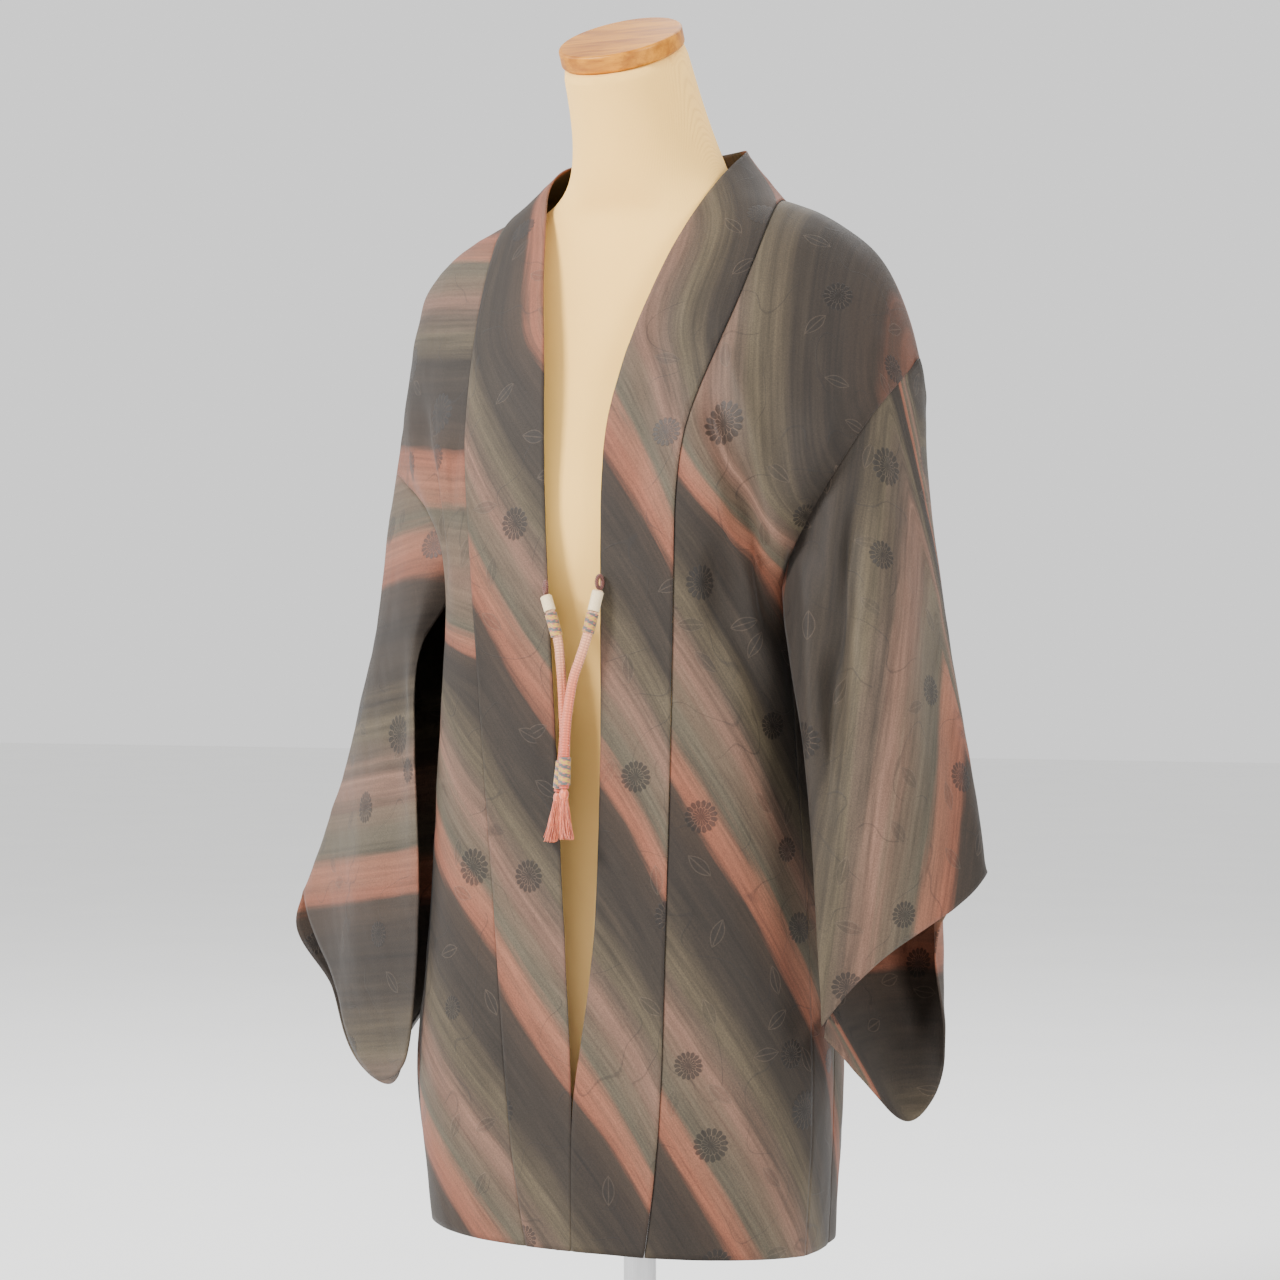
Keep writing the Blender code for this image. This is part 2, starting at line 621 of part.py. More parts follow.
def thick_sheet(name, grid, normals, rise, depth, material_name="crepe"):
    """Loft of closed sections: an outer and an inner face joined round the rim."""
    bm = bmesh.new()
    outer = []
    inner = []
    for row, line in zip(grid, normals):
        outer.append([bm.verts.new(p + n * rise) for p, n in zip(row, line)])
        inner.append([bm.verts.new(p - n * depth) for p, n in zip(row, line)])
    for i in range(len(grid) - 1):
        for j in range(len(grid[0]) - 1):
            falling = (grid[i][j] - grid[i + 1][j + 1]).length
            rising = (grid[i][j + 1] - grid[i + 1][j]).length
            for layer in (outer, inner):
                a, b, c, d = layer[i][j], layer[i][j + 1], layer[i + 1][j + 1], layer[i + 1][j]
                halves = ((a, b, c), (a, c, d)) if falling < rising else ((a, b, d), (b, c, d))
                for half in halves:
                    bm.faces.new(half)
    for j in range(len(grid[0]) - 1):
        for i in (0, len(grid) - 1):
            bm.faces.new((outer[i][j], inner[i][j], inner[i][j + 1], outer[i][j + 1]))
    for i in range(len(grid) - 1):
        for j in (0, len(grid[0]) - 1):
            bm.faces.new((outer[i][j], outer[i + 1][j], inner[i + 1][j], inner[i][j]))
    return mesh_object(name, bm, material_name)


def share_edge(normals_a, places_a, normals_b, places_b):
    """Give two panels one normal along their common seam."""
    for (i, j), (k, m) in zip(places_a, places_b):
        both = (normals_a[i][j] + normals_b[k][m]).normalized()
        normals_a[i][j] = both
        normals_b[k][m] = both


def pull_in(grid, top=False, bottom=False, left=False, right=False):
    """Stop a panel's edges a hair short of their seam lines."""
    moved = [list(row) for row in grid]
    rows = len(grid)
    columns = len(grid[0])
    for i in range(rows):
        for j in range(columns):
            shift = Vector((0.0, 0.0, 0.0))
            if top and i == 0:
                shift += (grid[1][j] - grid[0][j]).normalized()
            if bottom and i == rows - 1:
                shift += (grid[rows - 2][j] - grid[rows - 1][j]).normalized()
            if left and j == 0:
                shift += (grid[i][1] - grid[i][0]).normalized()
            if right and j == columns - 1:
                shift += (grid[i][columns - 2] - grid[i][columns - 1]).normalized()
            moved[i][j] = grid[i][j] + shift * SEAM_SHIFT
    return moved


def stations(first, last, cells):
    return [first + (last - first) * k / cells for k in range(cells + 1)]


def body_stations():
    """Row positions of a body panel, front hem to back hem."""
    front = stations(HEM_FRONT, UNDERARM_FRONT, SIDE_ROWS)
    front += stations(UNDERARM_FRONT, SHOULDER, ARM_ROWS)[1:]
    back = stations(SHOULDER, UNDERARM_BACK, ARM_ROWS)[1:]
    back += stations(UNDERARM_BACK, HEM_BACK, SIDE_ROWS)[1:]
    return front + back


def body_grid(seam, outer, side):
    """Rows of quarter ellipses between the inner seam line and the outer edge."""
    grid = []
    for s in body_stations():
        a = point(seam, s)
        b = point(outer, s)
        if s >= NAPE:
            a.x = side * HALF_BACK_SEAM
        share = read(ROUND, s)[0]
        near = max(0.0, 1.0 - abs(s - SHOULDER) / SHOULDER_REACH)
        shoulder = LEFT_SHOULDER if side > 0 else RIGHT_SHOULDER
        row = []
        for j in range(BODY_COLUMNS + 1):
            u = j / BODY_COLUMNS
            across = share * math.sin(u * math.pi / 2) + (1 - share) * u
            down = share * (1 - math.cos(u * math.pi / 2)) + (1 - share) * u
            own_across, own_down = read(shoulder, u)
            across += (own_across - across) * near
            down += (own_down - down) * near
            p = Vector((a.x + (b.x - a.x) * across, a.y + (b.y - a.y) * down,
                        a.z + (b.z - a.z) * down))
            row.append(p)
        grid.append(row)
    return grid


def band_grid(edge, seam):
    """Half the collar band, front hem to nape, free edge to seam."""
    grid = []
    for s in body_stations():
        if s <= NAPE:
            a = point(edge, s)
            b = point(seam, s)
            grid.append([a.lerp(b, j / COLLAR_COLUMNS) for j in range(COLLAR_COLUMNS + 1)])
    return grid


def drape(seam, edge, outer, side, folds):
    """Half the collar band and one body panel, laid on the form as one cloth."""
    rows = body_stations()
    columns = [j / BODY_COLUMNS for j in range(BODY_COLUMNS + 1)]
    band = band_grid(edge, seam)
    body = body_grid(seam, outer, side)
    body = add_folds(body, grid_normals(body, side < 0), folds, rows, columns, body_fade)
    joined = []
    for i, row in enumerate(body):
        joined.append((band[i][:-1] if i < len(band) else [None] * COLLAR_COLUMNS) + row)
    joined = settle(joined, CLOTH + FORM_GAP)
    band = [row[:COLLAR_COLUMNS + 1] for row in joined[:len(band)]]
    body = [row[COLLAR_COLUMNS:] for row in joined]
    for i, s in enumerate(rows):
        if s >= NAPE:
            body[i][0].x = side * HALF_BACK_SEAM
    return band, body


def gusset_grid(outer, bow, side):
    """Narrow panel between the front and back side seams, hem to underarm."""
    grid = []
    for s in stations(HEM_FRONT, UNDERARM_FRONT, SIDE_ROWS):
        a = point(outer, s)
        b = point(outer, HEM_BACK - s)
        out = read(bow, s)[0]
        row = []
        for j in range(GUSSET_COLUMNS + 1):
            u = j / GUSSET_COLUMNS
            p = a.lerp(b, u) + Vector((side * out * 4 * u * (1 - u), 0.0, 0.0))
            row.append(p)
        grid.append(row)
    top = grid[-1]
    for j, row_end in ((0, 1), (GUSSET_COLUMNS, GUSSET_COLUMNS - 1)):
        top[j] = top[j] + (top[row_end] - top[j]).normalized() * GUSSET_TOP_EASE
    for j in range(GUSSET_COLUMNS + 1):
        top[j] = top[j] + (grid[-2][j] - top[j]).normalized() * GUSSET_TOP_DROP
    return grid


def coons(first_edge, last_edge, low_edge, high_edge, a, b):
    """Surface inside four edges: a runs first to last, b runs low to high."""
    p = first_edge(b) * (1 - a) + last_edge(b) * a + low_edge(a) * (1 - b) + high_edge(a) * b
    corners = low_edge(0) * ((1 - a) * (1 - b)) + high_edge(0) * ((1 - a) * b)
    corners += low_edge(1) * (a * (1 - b)) + high_edge(1) * (a * b)
    return p - corners


def sleeve_grid(outer, fold, front_inner, front_lower, back_inner, back_lower, swells):
    """Front layer, top fold and back layer of a sleeve in one sheet."""
    half = ARM_ROWS
    grid = []
    for i in range(SLEEVE_ROWS + 1):
        a = i / SLEEVE_ROWS
        row = []
        for j in range(2 * half + 1):
            front = j <= half
            b = j / half if front else 2.0 - j / half
            if front:
                armhole = lambda t: point(outer, UNDERARM_FRONT + 2.0 * t)
                inner, lower, swell = front_inner, front_lower, swells[0]
            else:
                armhole = lambda t: point(outer, UNDERARM_BACK - 2.0 * t)
                inner, lower, swell = back_inner, back_lower, swells[1]
            p = coons(armhole, lambda t: point(lower, t), lambda t: point(inner, t),
                      lambda t: point(fold, t), a, b)
            row.append(p + Vector(swell) * math.sin(math.pi * a) * math.sin(math.pi * b))
        grid.append(row)
    return grid


def body_fade(i, j):
    """Folds die out at the seams of a body panel."""
    return min(1.0, 2.5 * math.sin(math.pi * j / BODY_COLUMNS))


def sleeve_fade(i, j):
    """Folds die out at the armhole and at the top fold of a sleeve."""
    u = j / ARM_ROWS
    return min(1.0, 3.0 * i / SLEEVE_ROWS) * min(1.0, 3.0 * abs(u - 1.0)) * min(1.0, 0.35 + 3 * u,
                                                                                0.35 + 3 * (2 - u))


def build_cloth():
    """All panels, mitred to their neighbours."""
    count = len(body_stations())
    lengths = [i / SLEEVE_ROWS for i in range(SLEEVE_ROWS + 1)]
    crosses = [j / ARM_ROWS for j in range(2 * ARM_ROWS + 1)]
    last_column = BODY_COLUMNS
    arm_first = SIDE_ROWS
    arm_last = SIDE_ROWS + 2 * ARM_ROWS
    sides = (
        (1, "left", LEFT_SEAM, LEFT_EDGE, LEFT_OUTER, LEFT_GUSSET_BOW, LEFT_BODY_FOLDS,
         LEFT_SLEEVE_FOLDS,
         (LEFT_FOLD, LEFT_FRONT_INNER, LEFT_FRONT_LOWER, LEFT_BACK_INNER, LEFT_BACK_LOWER),
         (LEFT_FRONT_SWELL, LEFT_BACK_SWELL)),
        (-1, "right", RIGHT_SEAM, RIGHT_EDGE, RIGHT_OUTER, RIGHT_GUSSET_BOW, RIGHT_BODY_FOLDS,
         RIGHT_SLEEVE_FOLDS,
         (RIGHT_FOLD, RIGHT_FRONT_INNER, RIGHT_FRONT_LOWER, RIGHT_BACK_INNER, RIGHT_BACK_LOWER),
         (RIGHT_FRONT_SWELL, RIGHT_BACK_SWELL)),
    )
    bands = {}
    bodies = {}
    for side, word, seam, edge, outer, bow, folds, sleeve_folds, edges, swells in sides:
        flip = side < 0
        band, body = drape(seam, edge, outer, side, folds)
        bands[word] = band
        body_normals = grid_normals(body, flip)
        gusset = gusset_grid(outer, bow, side)
        gusset_normals = grid_normals(gusset, flip)
        sleeve = sleeve_grid(outer, *edges, swells)
        sleeve = add_folds(sleeve, grid_normals(sleeve, not flip), sleeve_folds, lengths, crosses,
                           sleeve_fade)
        sleeve_normals = grid_normals(sleeve, not flip)
        front_side = [(i, last_column) for i in range(SIDE_ROWS)]
        back_side = [(count - 1 - i, last_column) for i in range(SIDE_ROWS)]
        share_edge(body_normals, front_side, gusset_normals, [(i, 0) for i in range(SIDE_ROWS)])
        share_edge(body_normals, back_side, gusset_normals,
                   [(i, GUSSET_COLUMNS) for i in range(SIDE_ROWS)])
        armhole = [(i, last_column) for i in range(arm_first, arm_last + 1)]
        share_edge(body_normals, armhole, sleeve_normals, [(0, j) for j in range(2 * ARM_ROWS + 1)])
        bodies[word] = (body, body_normals)
        thick_sheet("gusset_" + word, pull_in(gusset, bottom=True, left=True, right=True),
                    gusset_normals, 0.0, CLOTH)
        thick_sheet("sleeve_" + word, pull_in(sleeve, top=True, left=True, right=True),
                    sleeve_normals, 0.0, CLOTH)
    collar = bands["left"] + bands["right"][-2::-1]
    collar_normals = grid_normals(collar, False)
    nape_row = len(bands["left"]) - 1
    for word, (body, body_normals) in bodies.items():
        rows = range(nape_row + 1)
        band = [(i if word == "left" else len(collar) - 1 - i, COLLAR_COLUMNS) for i in rows]
        share_edge(body_normals, [(i, 0) for i in rows], collar_normals, band)
        for i in range(nape_row, count):
            normal = body_normals[i][0]
            body_normals[i][0] = Vector((0.0, normal.y, normal.z)).normalized()
    for word, (body, body_normals) in bodies.items():
        thick_sheet("body_" + word, pull_in(body, left=True, right=True), body_normals, 0.0, CLOTH)
    thick_sheet("collar", pull_in(collar, right=True), collar_normals, COLLAR_RISE, CLOTH)


# ---- Ties -----------------------------------------------------------------------------------
def tube(name, points, radius, material_name, resolution=2, closed=False):
    """Round cord along a line of points."""
    curve = bpy.data.curves.new(name, "CURVE")
    curve.dimensions = "3D"
    curve.bevel_depth = radius
    curve.bevel_resolution = resolution
    curve.use_fill_caps = not closed
    line = curve.splines.new("POLY")
    line.points.add(len(points) - 1)
    for spot, p in zip(line.points, points):
        spot.co = (p[0], p[1], p[2], 1.0)
    line.use_cyclic_u = closed
    return finish_object(bpy.data.objects.new(name, curve), material_name, False)


def smooth_line(table, cells):
    """Points along a line of places, evenly spread between each two."""
    numbered = [(k,) + tuple(place) for k, place in enumerate(table)]
    total = (len(table) - 1) * cells
    return [point(numbered, k / cells) for k in range(total + 1)]


def build_wrap(name, table, place):
    """Thread wrapped round a straight stretch of cord, as a short sleeve."""
    segment, first, last = place
    a = Vector(table[segment])
    b = Vector(table[segment + 1])
    start = a.lerp(b, first)
    end = a.lerp(b, last)
    inner = CORD_RADIUS + TOUCH_GAP
    outer = inner + WRAP_WALL
    half = (end - start).length / 2.0
    bm = bmesh.new()
    spots = [(inner, -half), (outer - 0.0004, -half), (outer, -half + 0.0006),
             (outer, half - 0.0006), (outer - 0.0004, half), (inner, half)]
    loop = [bm.verts.new((r, 0.0, z)) for r, z in spots]
    edges = [bm.edges.new((loop[k], loop[(k + 1) % len(loop)])) for k in range(len(loop))]
    bmesh.ops.spin(bm, geom=loop + edges, cent=(0, 0, 0), axis=(0, 0, 1), dvec=(0, 0, 0),
                   angle=2.0 * math.pi, steps=12, use_merge=True)
    turn = (end - start).to_track_quat("Z", "Y").to_matrix().to_4x4()
    bmesh.ops.transform(bm, matrix=Matrix.Translation((start + end) / 2.0) @ turn, verts=bm.verts)
    return mesh_object(name, bm, "wrap_thread")


def build_tassel(name, table, lean):
    """Tassel head with strands drawn out of its underside, fused at their roots."""
    top = Vector(table[-1])
    fall = (top - Vector(table[-2])).normalized()
    bm = bmesh.new()
    made = bmesh.ops.create_grid(bm, x_segments=STRANDS_ACROSS, y_segments=STRANDS_ACROSS,
                                 size=TASSEL_RADIUS)
    for v in made["verts"]:
        reach = max(abs(v.co.x), abs(v.co.y))
        if reach > 0.0:
            v.co *= reach / math.hypot(v.co.x, v.co.y)
    strands = list(bm.faces)
    raised = bmesh.ops.extrude_face_region(bm, geom=strands, use_keep_orig=True)
    crown = [g for g in raised["geom"] if isinstance(g, bmesh.types.BMVert)]
    bmesh.ops.translate(bm, vec=(0, 0, TASSEL_HEAD), verts=crown)
    bmesh.ops.scale(bm, vec=(0.62, 0.62, 1.0), verts=crown)
    bmesh.ops.inset_individual(bm, faces=strands, thickness=STRAND_GAP / 2.0)
    for number, face in enumerate(strands):
        middle = face.calc_center_median()
        for step in (0.35, 0.75, 1.0):
            drawn = bmesh.ops.extrude_face_region(bm, geom=[face])
            bmesh.ops.delete(bm, geom=[face], context="FACES_ONLY")
            face = [g for g in drawn["geom"] if isinstance(g, bmesh.types.BMFace)][0]
            wave = STRAND_WAVE * math.sin(2.4 * number + 5.0 * step)
            spread = 1.0 + STRAND_SPREAD * step
            target = Vector((middle.x * spread + wave, middle.y * spread - wave,
                             -(TASSEL_LENGTH - TASSEL_HEAD) * step * (1 - 0.04 * (number % 3))))
            target.x += lean * step ** 2
            shift = target - face.calc_center_median()
            bmesh.ops.translate(bm, vec=shift, verts=face.verts)
        bmesh.ops.scale(bm, vec=(0.75, 0.75, 1.0), verts=face.verts,
                        space=Matrix.Translation(-face.calc_center_median()))
    turn = (-fall).to_track_quat("Z", "Y").to_matrix().to_4x4()
    seat = top + fall * (TOUCH_GAP + TASSEL_HEAD)
    bmesh.ops.transform(bm, matrix=Matrix.Translation(seat) @ turn, verts=bm.verts)
    return mesh_object(name, bm, "tassel_silk", False)


def build_ties():
    """Loops on the collar's edge, braided cords, thread wraps and tassels."""
    for word, table, (root, out), lean in (("left", LEFT_CORD, LEFT_LOOP, 0.003),
                                           ("right", RIGHT_CORD, RIGHT_LOOP, -0.002)):
        places = []
        for k in range(LOOP_SIDES):
            angle = 2.0 * math.pi * k / LOOP_SIDES
            reach = LOOP_RADIUS * (1.0 - math.cos(angle))
            places.append((root[0] + out[0] * reach, root[1] + out[1] * reach,
                           root[2] + LOOP_RADIUS * math.sin(angle)))
        tube("loop_" + word, places, LOOP_THICKNESS, "loop_cord", 1, closed=True)
        tube("tie_cord_" + word, smooth_line(table, 1), CORD_RADIUS, "braid")
        build_wrap("upper_wrap_" + word, table, UPPER_WRAP)
        build_wrap("lower_wrap_" + word, table, LOWER_WRAP)
        build_tassel("tassel_" + word, table, lean)


clear_scene()
PARTS = new_collection("haori_on_dress_form")
FORM_TREE = build_form()
build_cap()
build_stand()
build_cloth()
build_ties()
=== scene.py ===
import math
import random

import bmesh
import bpy
import numpy as np
from mathutils import Matrix, Vector, kdtree, noise


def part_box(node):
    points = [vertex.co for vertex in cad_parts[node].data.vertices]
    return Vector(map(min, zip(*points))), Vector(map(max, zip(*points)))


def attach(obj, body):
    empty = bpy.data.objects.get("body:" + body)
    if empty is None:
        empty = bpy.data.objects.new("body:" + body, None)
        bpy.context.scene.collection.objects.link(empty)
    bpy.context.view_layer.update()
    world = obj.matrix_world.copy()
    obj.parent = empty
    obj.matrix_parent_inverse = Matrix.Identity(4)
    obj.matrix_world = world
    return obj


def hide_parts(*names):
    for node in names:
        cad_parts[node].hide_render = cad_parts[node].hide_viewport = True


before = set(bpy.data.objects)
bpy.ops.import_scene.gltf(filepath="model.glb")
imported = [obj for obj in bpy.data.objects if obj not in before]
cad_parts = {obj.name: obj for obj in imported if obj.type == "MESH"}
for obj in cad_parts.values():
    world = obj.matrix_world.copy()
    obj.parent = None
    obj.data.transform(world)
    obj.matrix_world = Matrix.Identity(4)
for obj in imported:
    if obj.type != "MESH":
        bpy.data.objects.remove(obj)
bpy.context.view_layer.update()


# ---- Room ----------------------------------------------------------------------------------
# A level view from the wearer's front left, four soft lamps and a pale floor, as for any
# garment shown on its form.
VIEW_TURN = math.radians(26.5)
VIEW_DISTANCE = 2.7
VIEW_HEIGHT = 0.626
LENS = 98.7                       # millimetres, as the sensor's width is
SENSOR_WIDTH = 36.0
TOWARDS_VIEW = Vector((math.sin(VIEW_TURN), -math.cos(VIEW_TURN), 0.0))
ALONG_VIEW = Vector((math.cos(VIEW_TURN), math.sin(VIEW_TURN), 0.0))


def in_scene(name, data):
    """A new object in the scene that holds this camera, lamp, curve or mesh."""
    made = bpy.data.objects.new(name, data)
    bpy.context.scene.collection.objects.link(made)
    return made


eye = in_scene("view_camera", bpy.data.cameras.new("view_camera"))
eye.data.lens = LENS
eye.data.sensor_width = SENSOR_WIDTH
eye.location = TOWARDS_VIEW * VIEW_DISTANCE + Vector((0.0, 0.0, VIEW_HEIGHT))
eye.rotation_euler = (math.pi / 2.0, 0.0, VIEW_TURN)
bpy.context.scene.camera = eye

LAMPS = (
    # name, place, aimed at, width, power
    ("front_lamp", (-1.5, -2.7, 2.5), (0.0, 0.0, 0.6), 0.9, 250.0),
    ("left_lamp", (3.0, -1.6, 1.8), (0.0, 0.0, 0.5), 1.2, 115.0),
    ("right_lamp", (-3.0, -0.6, 2.2), (0.0, 0.0, 0.6), 2.0, 40.0),
    ("top_lamp", (0.0, 1.8, 3.2), (0.0, 0.0, 0.7), 2.4, 60.0),
)
for name, place, target, width, power in LAMPS:
    lamp = in_scene(name, bpy.data.lights.new(name, "AREA"))
    lamp.data.size = width
    lamp.data.energy = power
    lamp.location = place
    aim = Vector(target) - Vector(place)
    lamp.rotation_euler = aim.to_track_quat("-Z", "Y").to_euler()

ROOM_WHITE = (1.0, 1.0, 1.0, 1.0)
ROOM_LIGHT = 1.15
room = bpy.data.worlds.new("pale_room")
room.use_nodes = True
glow = room.node_tree.nodes["Background"]
glow.inputs["Color"].default_value = ROOM_WHITE
glow.inputs["Strength"].default_value = ROOM_LIGHT
bpy.context.scene.world = room


class Tone:
    """One value or colour on its way through a finish. Sums and products of it add the nodes."""

    def __init__(self, tree, socket=None):
        self.tree = tree
        self.socket = socket

    def node(self, kind, settings=None, inputs=None, output=0):
        """Any node: its settings, then the values or links of its sockets."""
        made = self.tree.nodes.new(kind)
        for name, value in (settings or {}).items():
            if name == "stops":
                ramp = made.color_ramp
                ramp.interpolation = "EASE"
                while len(ramp.elements) < len(value):
                    ramp.elements.new(0.5)
                for element, (at, colour) in zip(ramp.elements, value):
                    element.position = at
                    element.color = colour
            else:
                setattr(made, name, value)
        for name, value in (inputs or {}).items():
            if isinstance(value, Tone):
                self.tree.links.new(value.socket, made.inputs[name])
            else:
                made.inputs[name].default_value = value
        return Tone(self.tree, made.outputs[output])

    def maths(self, operation, *values):
        return self.node("ShaderNodeMath", {"operation": operation}, dict(enumerate(values)))

    def __add__(self, other):
        return self.maths("ADD", self, other)

    def __radd__(self, other):
        return self.maths("ADD", other, self)

    def __sub__(self, other):
        return self.maths("SUBTRACT", self, other)

    def __rsub__(self, other):
        return self.maths("SUBTRACT", other, self)

    def __mul__(self, other):
        return self.maths("MULTIPLY", self, other)

    def __rmul__(self, other):
        return self.maths("MULTIPLY", other, self)

    def __truediv__(self, other):
        return self.maths("DIVIDE", self, other)

    def sine(self):
        return self.maths("SINE", self)

    def size(self):
        """The value without its sign."""
        return self.maths("ABSOLUTE", self)

    def highest(self, *values):
        """The largest of some values."""
        top = values[0]
        for value in values[1:]:
            top = self.maths("MAXIMUM", top, value)
        return top

    def rise(self, low, high):
        """0 below low, 1 above high, smooth between them."""
        return self.node("ShaderNodeMapRange", {"interpolation_type": "SMOOTHSTEP"},
                         {"Value": self, "From Min": low, "From Max": high})

    def place(self):
        """Where a point lies on the object, whichever way the object is turned."""
        return self.node("ShaderNodeTexCoord", output=3)

    def measured(self, name):
        """The number that a mesh carries under this name."""
        return self.node("ShaderNodeAttribute", {"attribute_name": name}, output=2)

    def noise(self, at, scale, detail=3.0, roughness=0.5):
        return self.node("ShaderNodeTexNoise", {}, {"Vector": at, "Scale": scale,
                                                    "Detail": detail, "Roughness": roughness})

    def mix(self, first, second, share, blend="MIX"):
        """Colours go through here, because a Math node would turn them grey."""
        return self.node("ShaderNodeMix", {"data_type": "RGBA", "blend_type": blend},
                         {0: share, 6: first, 7: second}, 2)

    def stretched(self, at, scale):
        """A place with each of its directions scaled."""
        return self.node("ShaderNodeMapping", {}, {"Vector": at, "Scale": scale})

    def parts(self, vector):
        """The three numbers of a vector."""
        split = self.node("ShaderNodeSeparateXYZ", {}, {0: vector}).socket.node
        return [Tone(self.tree, out) for out in split.outputs]

    def together(self, x, y, z=0.0):
        """A vector of three numbers."""
        return self.node("ShaderNodeCombineXYZ", {}, {0: x, 1: y, 2: z})

    def relief(self, height, distance, strength=1.0):
        """The bumps of a height between 0 and 1, and how deep that 1 is in metres."""
        return self.node("ShaderNodeBump", {}, {"Height": height, "Distance": distance,
                                                "Strength": strength})


def dye(code):
    """A colour from its six-digit web code."""
    parts = [int(code[k:k + 2], 16) / 255.0 for k in (0, 2, 4)]
    return tuple([p / 12.92 if p <= 0.04045 else ((p + 0.055) / 1.055) ** 2.4
                  for p in parts] + [1.0])


def new_finish(name, roughness, sheen=0.0):
    """A finish, its shader, and the tone that its nodes start from."""
    finish = bpy.data.materials.new(name)
    finish.use_nodes = True
    shader = finish.node_tree.nodes["Principled BSDF"]
    shader.inputs["Roughness"].default_value = roughness
    shader.inputs["Sheen Weight"].default_value = sheen
    return finish, shader, Tone(finish.node_tree)


def end_in(shader, **tones):
    """Link tones to the shader's sockets, which are named here with _ for a space."""
    for name, tone in tones.items():
        shader.id_data.links.new(tone.socket, shader.inputs[name.replace("_", " ")])


def mesh_of(bm, name):
    """The mesh of a finished bmesh, which is freed."""
    mesh = bpy.data.meshes.new(name)
    bm.to_mesh(mesh)
    bm.free()
    return mesh


FLOOR_SIZE = 30.0
FLOOR_CLOUDS = 3.0                # faint clouds in the paint, to a metre
floor_finish, shader, tone = new_finish("floor_paint", 0.75)
clouds = tone.noise(tone.place(), FLOOR_CLOUDS)
end_in(shader, Base_Color=tone.mix(dye("EDEDEC"), dye("F4F4F3"), clouds))
bm = bmesh.new()
bmesh.ops.create_grid(bm, x_segments=1, y_segments=1, size=FLOOR_SIZE / 2.0)
floor = in_scene("floor", mesh_of(bm, "floor"))
floor.data.materials.append(floor_finish)


# ---- Ties ----------------------------------------------------------------------------------
# Two short braided silk cords, each ending at the top in a cream winding that meets a small
# twisted loop sewn inside the collar. Thread is wound round both ends of a cord, and its silk
# tassel hangs from the lower winding.
LEFT_ROUTE = (
    (0.0377, -0.1437, 0.6622),
    (0.0351, -0.1468, 0.6465),
    (0.0322, -0.1500, 0.6300),
    (0.0272, -0.1520, 0.6130),
    (0.0225, -0.1535, 0.5985),
    (0.0192, -0.1545, 0.5800),
    (0.0172, -0.1552, 0.5620),
    (0.0168, -0.1560, 0.5430),
    (0.0172, -0.1580, 0.5180),
)
RIGHT_ROUTE = (
    (-0.0052, -0.1445, 0.6585),
    (-0.0010, -0.1455, 0.6470),
    (0.0055, -0.1460, 0.6270),
    (0.0078, -0.1460, 0.6090),
    (0.0092, -0.1460, 0.5920),
    (0.0100, -0.1458, 0.5740),
    (0.0104, -0.1454, 0.5570),
    (0.0088, -0.1448, 0.5400),
    (0.0052, -0.1440, 0.5150),
)
STEPS = 8                         # points laid between two points of a route
FULL_TURN = 2.0 * math.pi
CORD_RADIUS = 0.0034
CORD_FLATNESS = (1.10, 0.84)      # how much wider and thinner than round the braid lies
BRAID_PITCH = 0.0042
BRAID_STRANDS = 3.0               # leaning each way round the cord
BRAID_RELIEF = 0.0006
SILK_FADE = 6.8                   # times to a metre: the silk is deepest where the cord ends
WRAP_TURN = 0.0011                # thread pitch of the wound ends
DARK_BAND = 0.0062                # pitch of the dark thread that winds through the gold
RED_CHECK = 0.0031                # pitch of the red flecks, and how many go round
RED_CHECKS = 4.0
FINE_RELIEF = 0.0002              # of wound thread, loops and loose silk

braid_finish, shader, tone = new_finish("silk_braid", 0.48, 0.35)
around = tone.measured("around")
along = tone.measured("along")
turns = along * (FULL_TURN / BRAID_PITCH)
strand = (around * BRAID_STRANDS + turns).sine() + (around * BRAID_STRANDS - turns).sine()
ridges = (strand * 0.5).size()
silk = tone.node("ShaderNodeValToRGB", {"stops": (
    (0.0, dye("D9B48A")), (0.20, dye("D09068")), (0.55, dye("C8633C")), (1.0, dye("B8421F")))},
    {0: along * SILK_FADE})
# painted shade: the silk is darkened towards 7E4233 in the grooves between the braid's strands,
# where the ridges are low
silk_with_painted_groove_shade = tone.mix(silk, dye("7E4233"), (1.0 - ridges.rise(0.02, 0.45)) * 0.55)
end_in(shader, Base_Color=silk_with_painted_groove_shade, Normal=tone.relief(ridges, BRAID_RELIEF))

wound_finish, shader, tone = new_finish("wound_thread", 0.45, 0.3)
along = tone.measured("along")
around = tone.measured("around")
bands = (along * (FULL_TURN / DARK_BAND) + around).sine()
checks = (around * RED_CHECKS).sine() * (along * (FULL_TURN / RED_CHECK)).sine()
thread = tone.mix(dye("BE9538"), dye("55534E"), bands.rise(-0.2, 0.35))
thread = tone.mix(thread, dye("B8604F"), checks.rise(0.35, 0.6))
end_in(shader, Base_Color=thread,
       Normal=tone.relief((along * (FULL_TURN / WRAP_TURN)).sine(), FINE_RELIEF))

cream_finish, shader, tone = new_finish("cream_end", 0.5, 0.3)
place = tone.place()
fibres = tone.noise(tone.stretched(place, (1.0, 1.0, 0.2)), 1500.0)
end_in(shader, Base_Color=tone.mix(dye("C2A87A"), dye("E3CFA6"), tone.noise(place, 900.0)),
       Normal=tone.relief(fibres, 0.0003))

loop_finish, shader, tone = new_finish("loop_twist", 0.42, 0.2)
place = tone.place()
end_in(shader, Base_Color=tone.mix(dye("33160D"), dye("6B2E1C"), tone.noise(place, 700.0)),
       Normal=tone.relief(tone.noise(place, 1800.0), FINE_RELIEF))

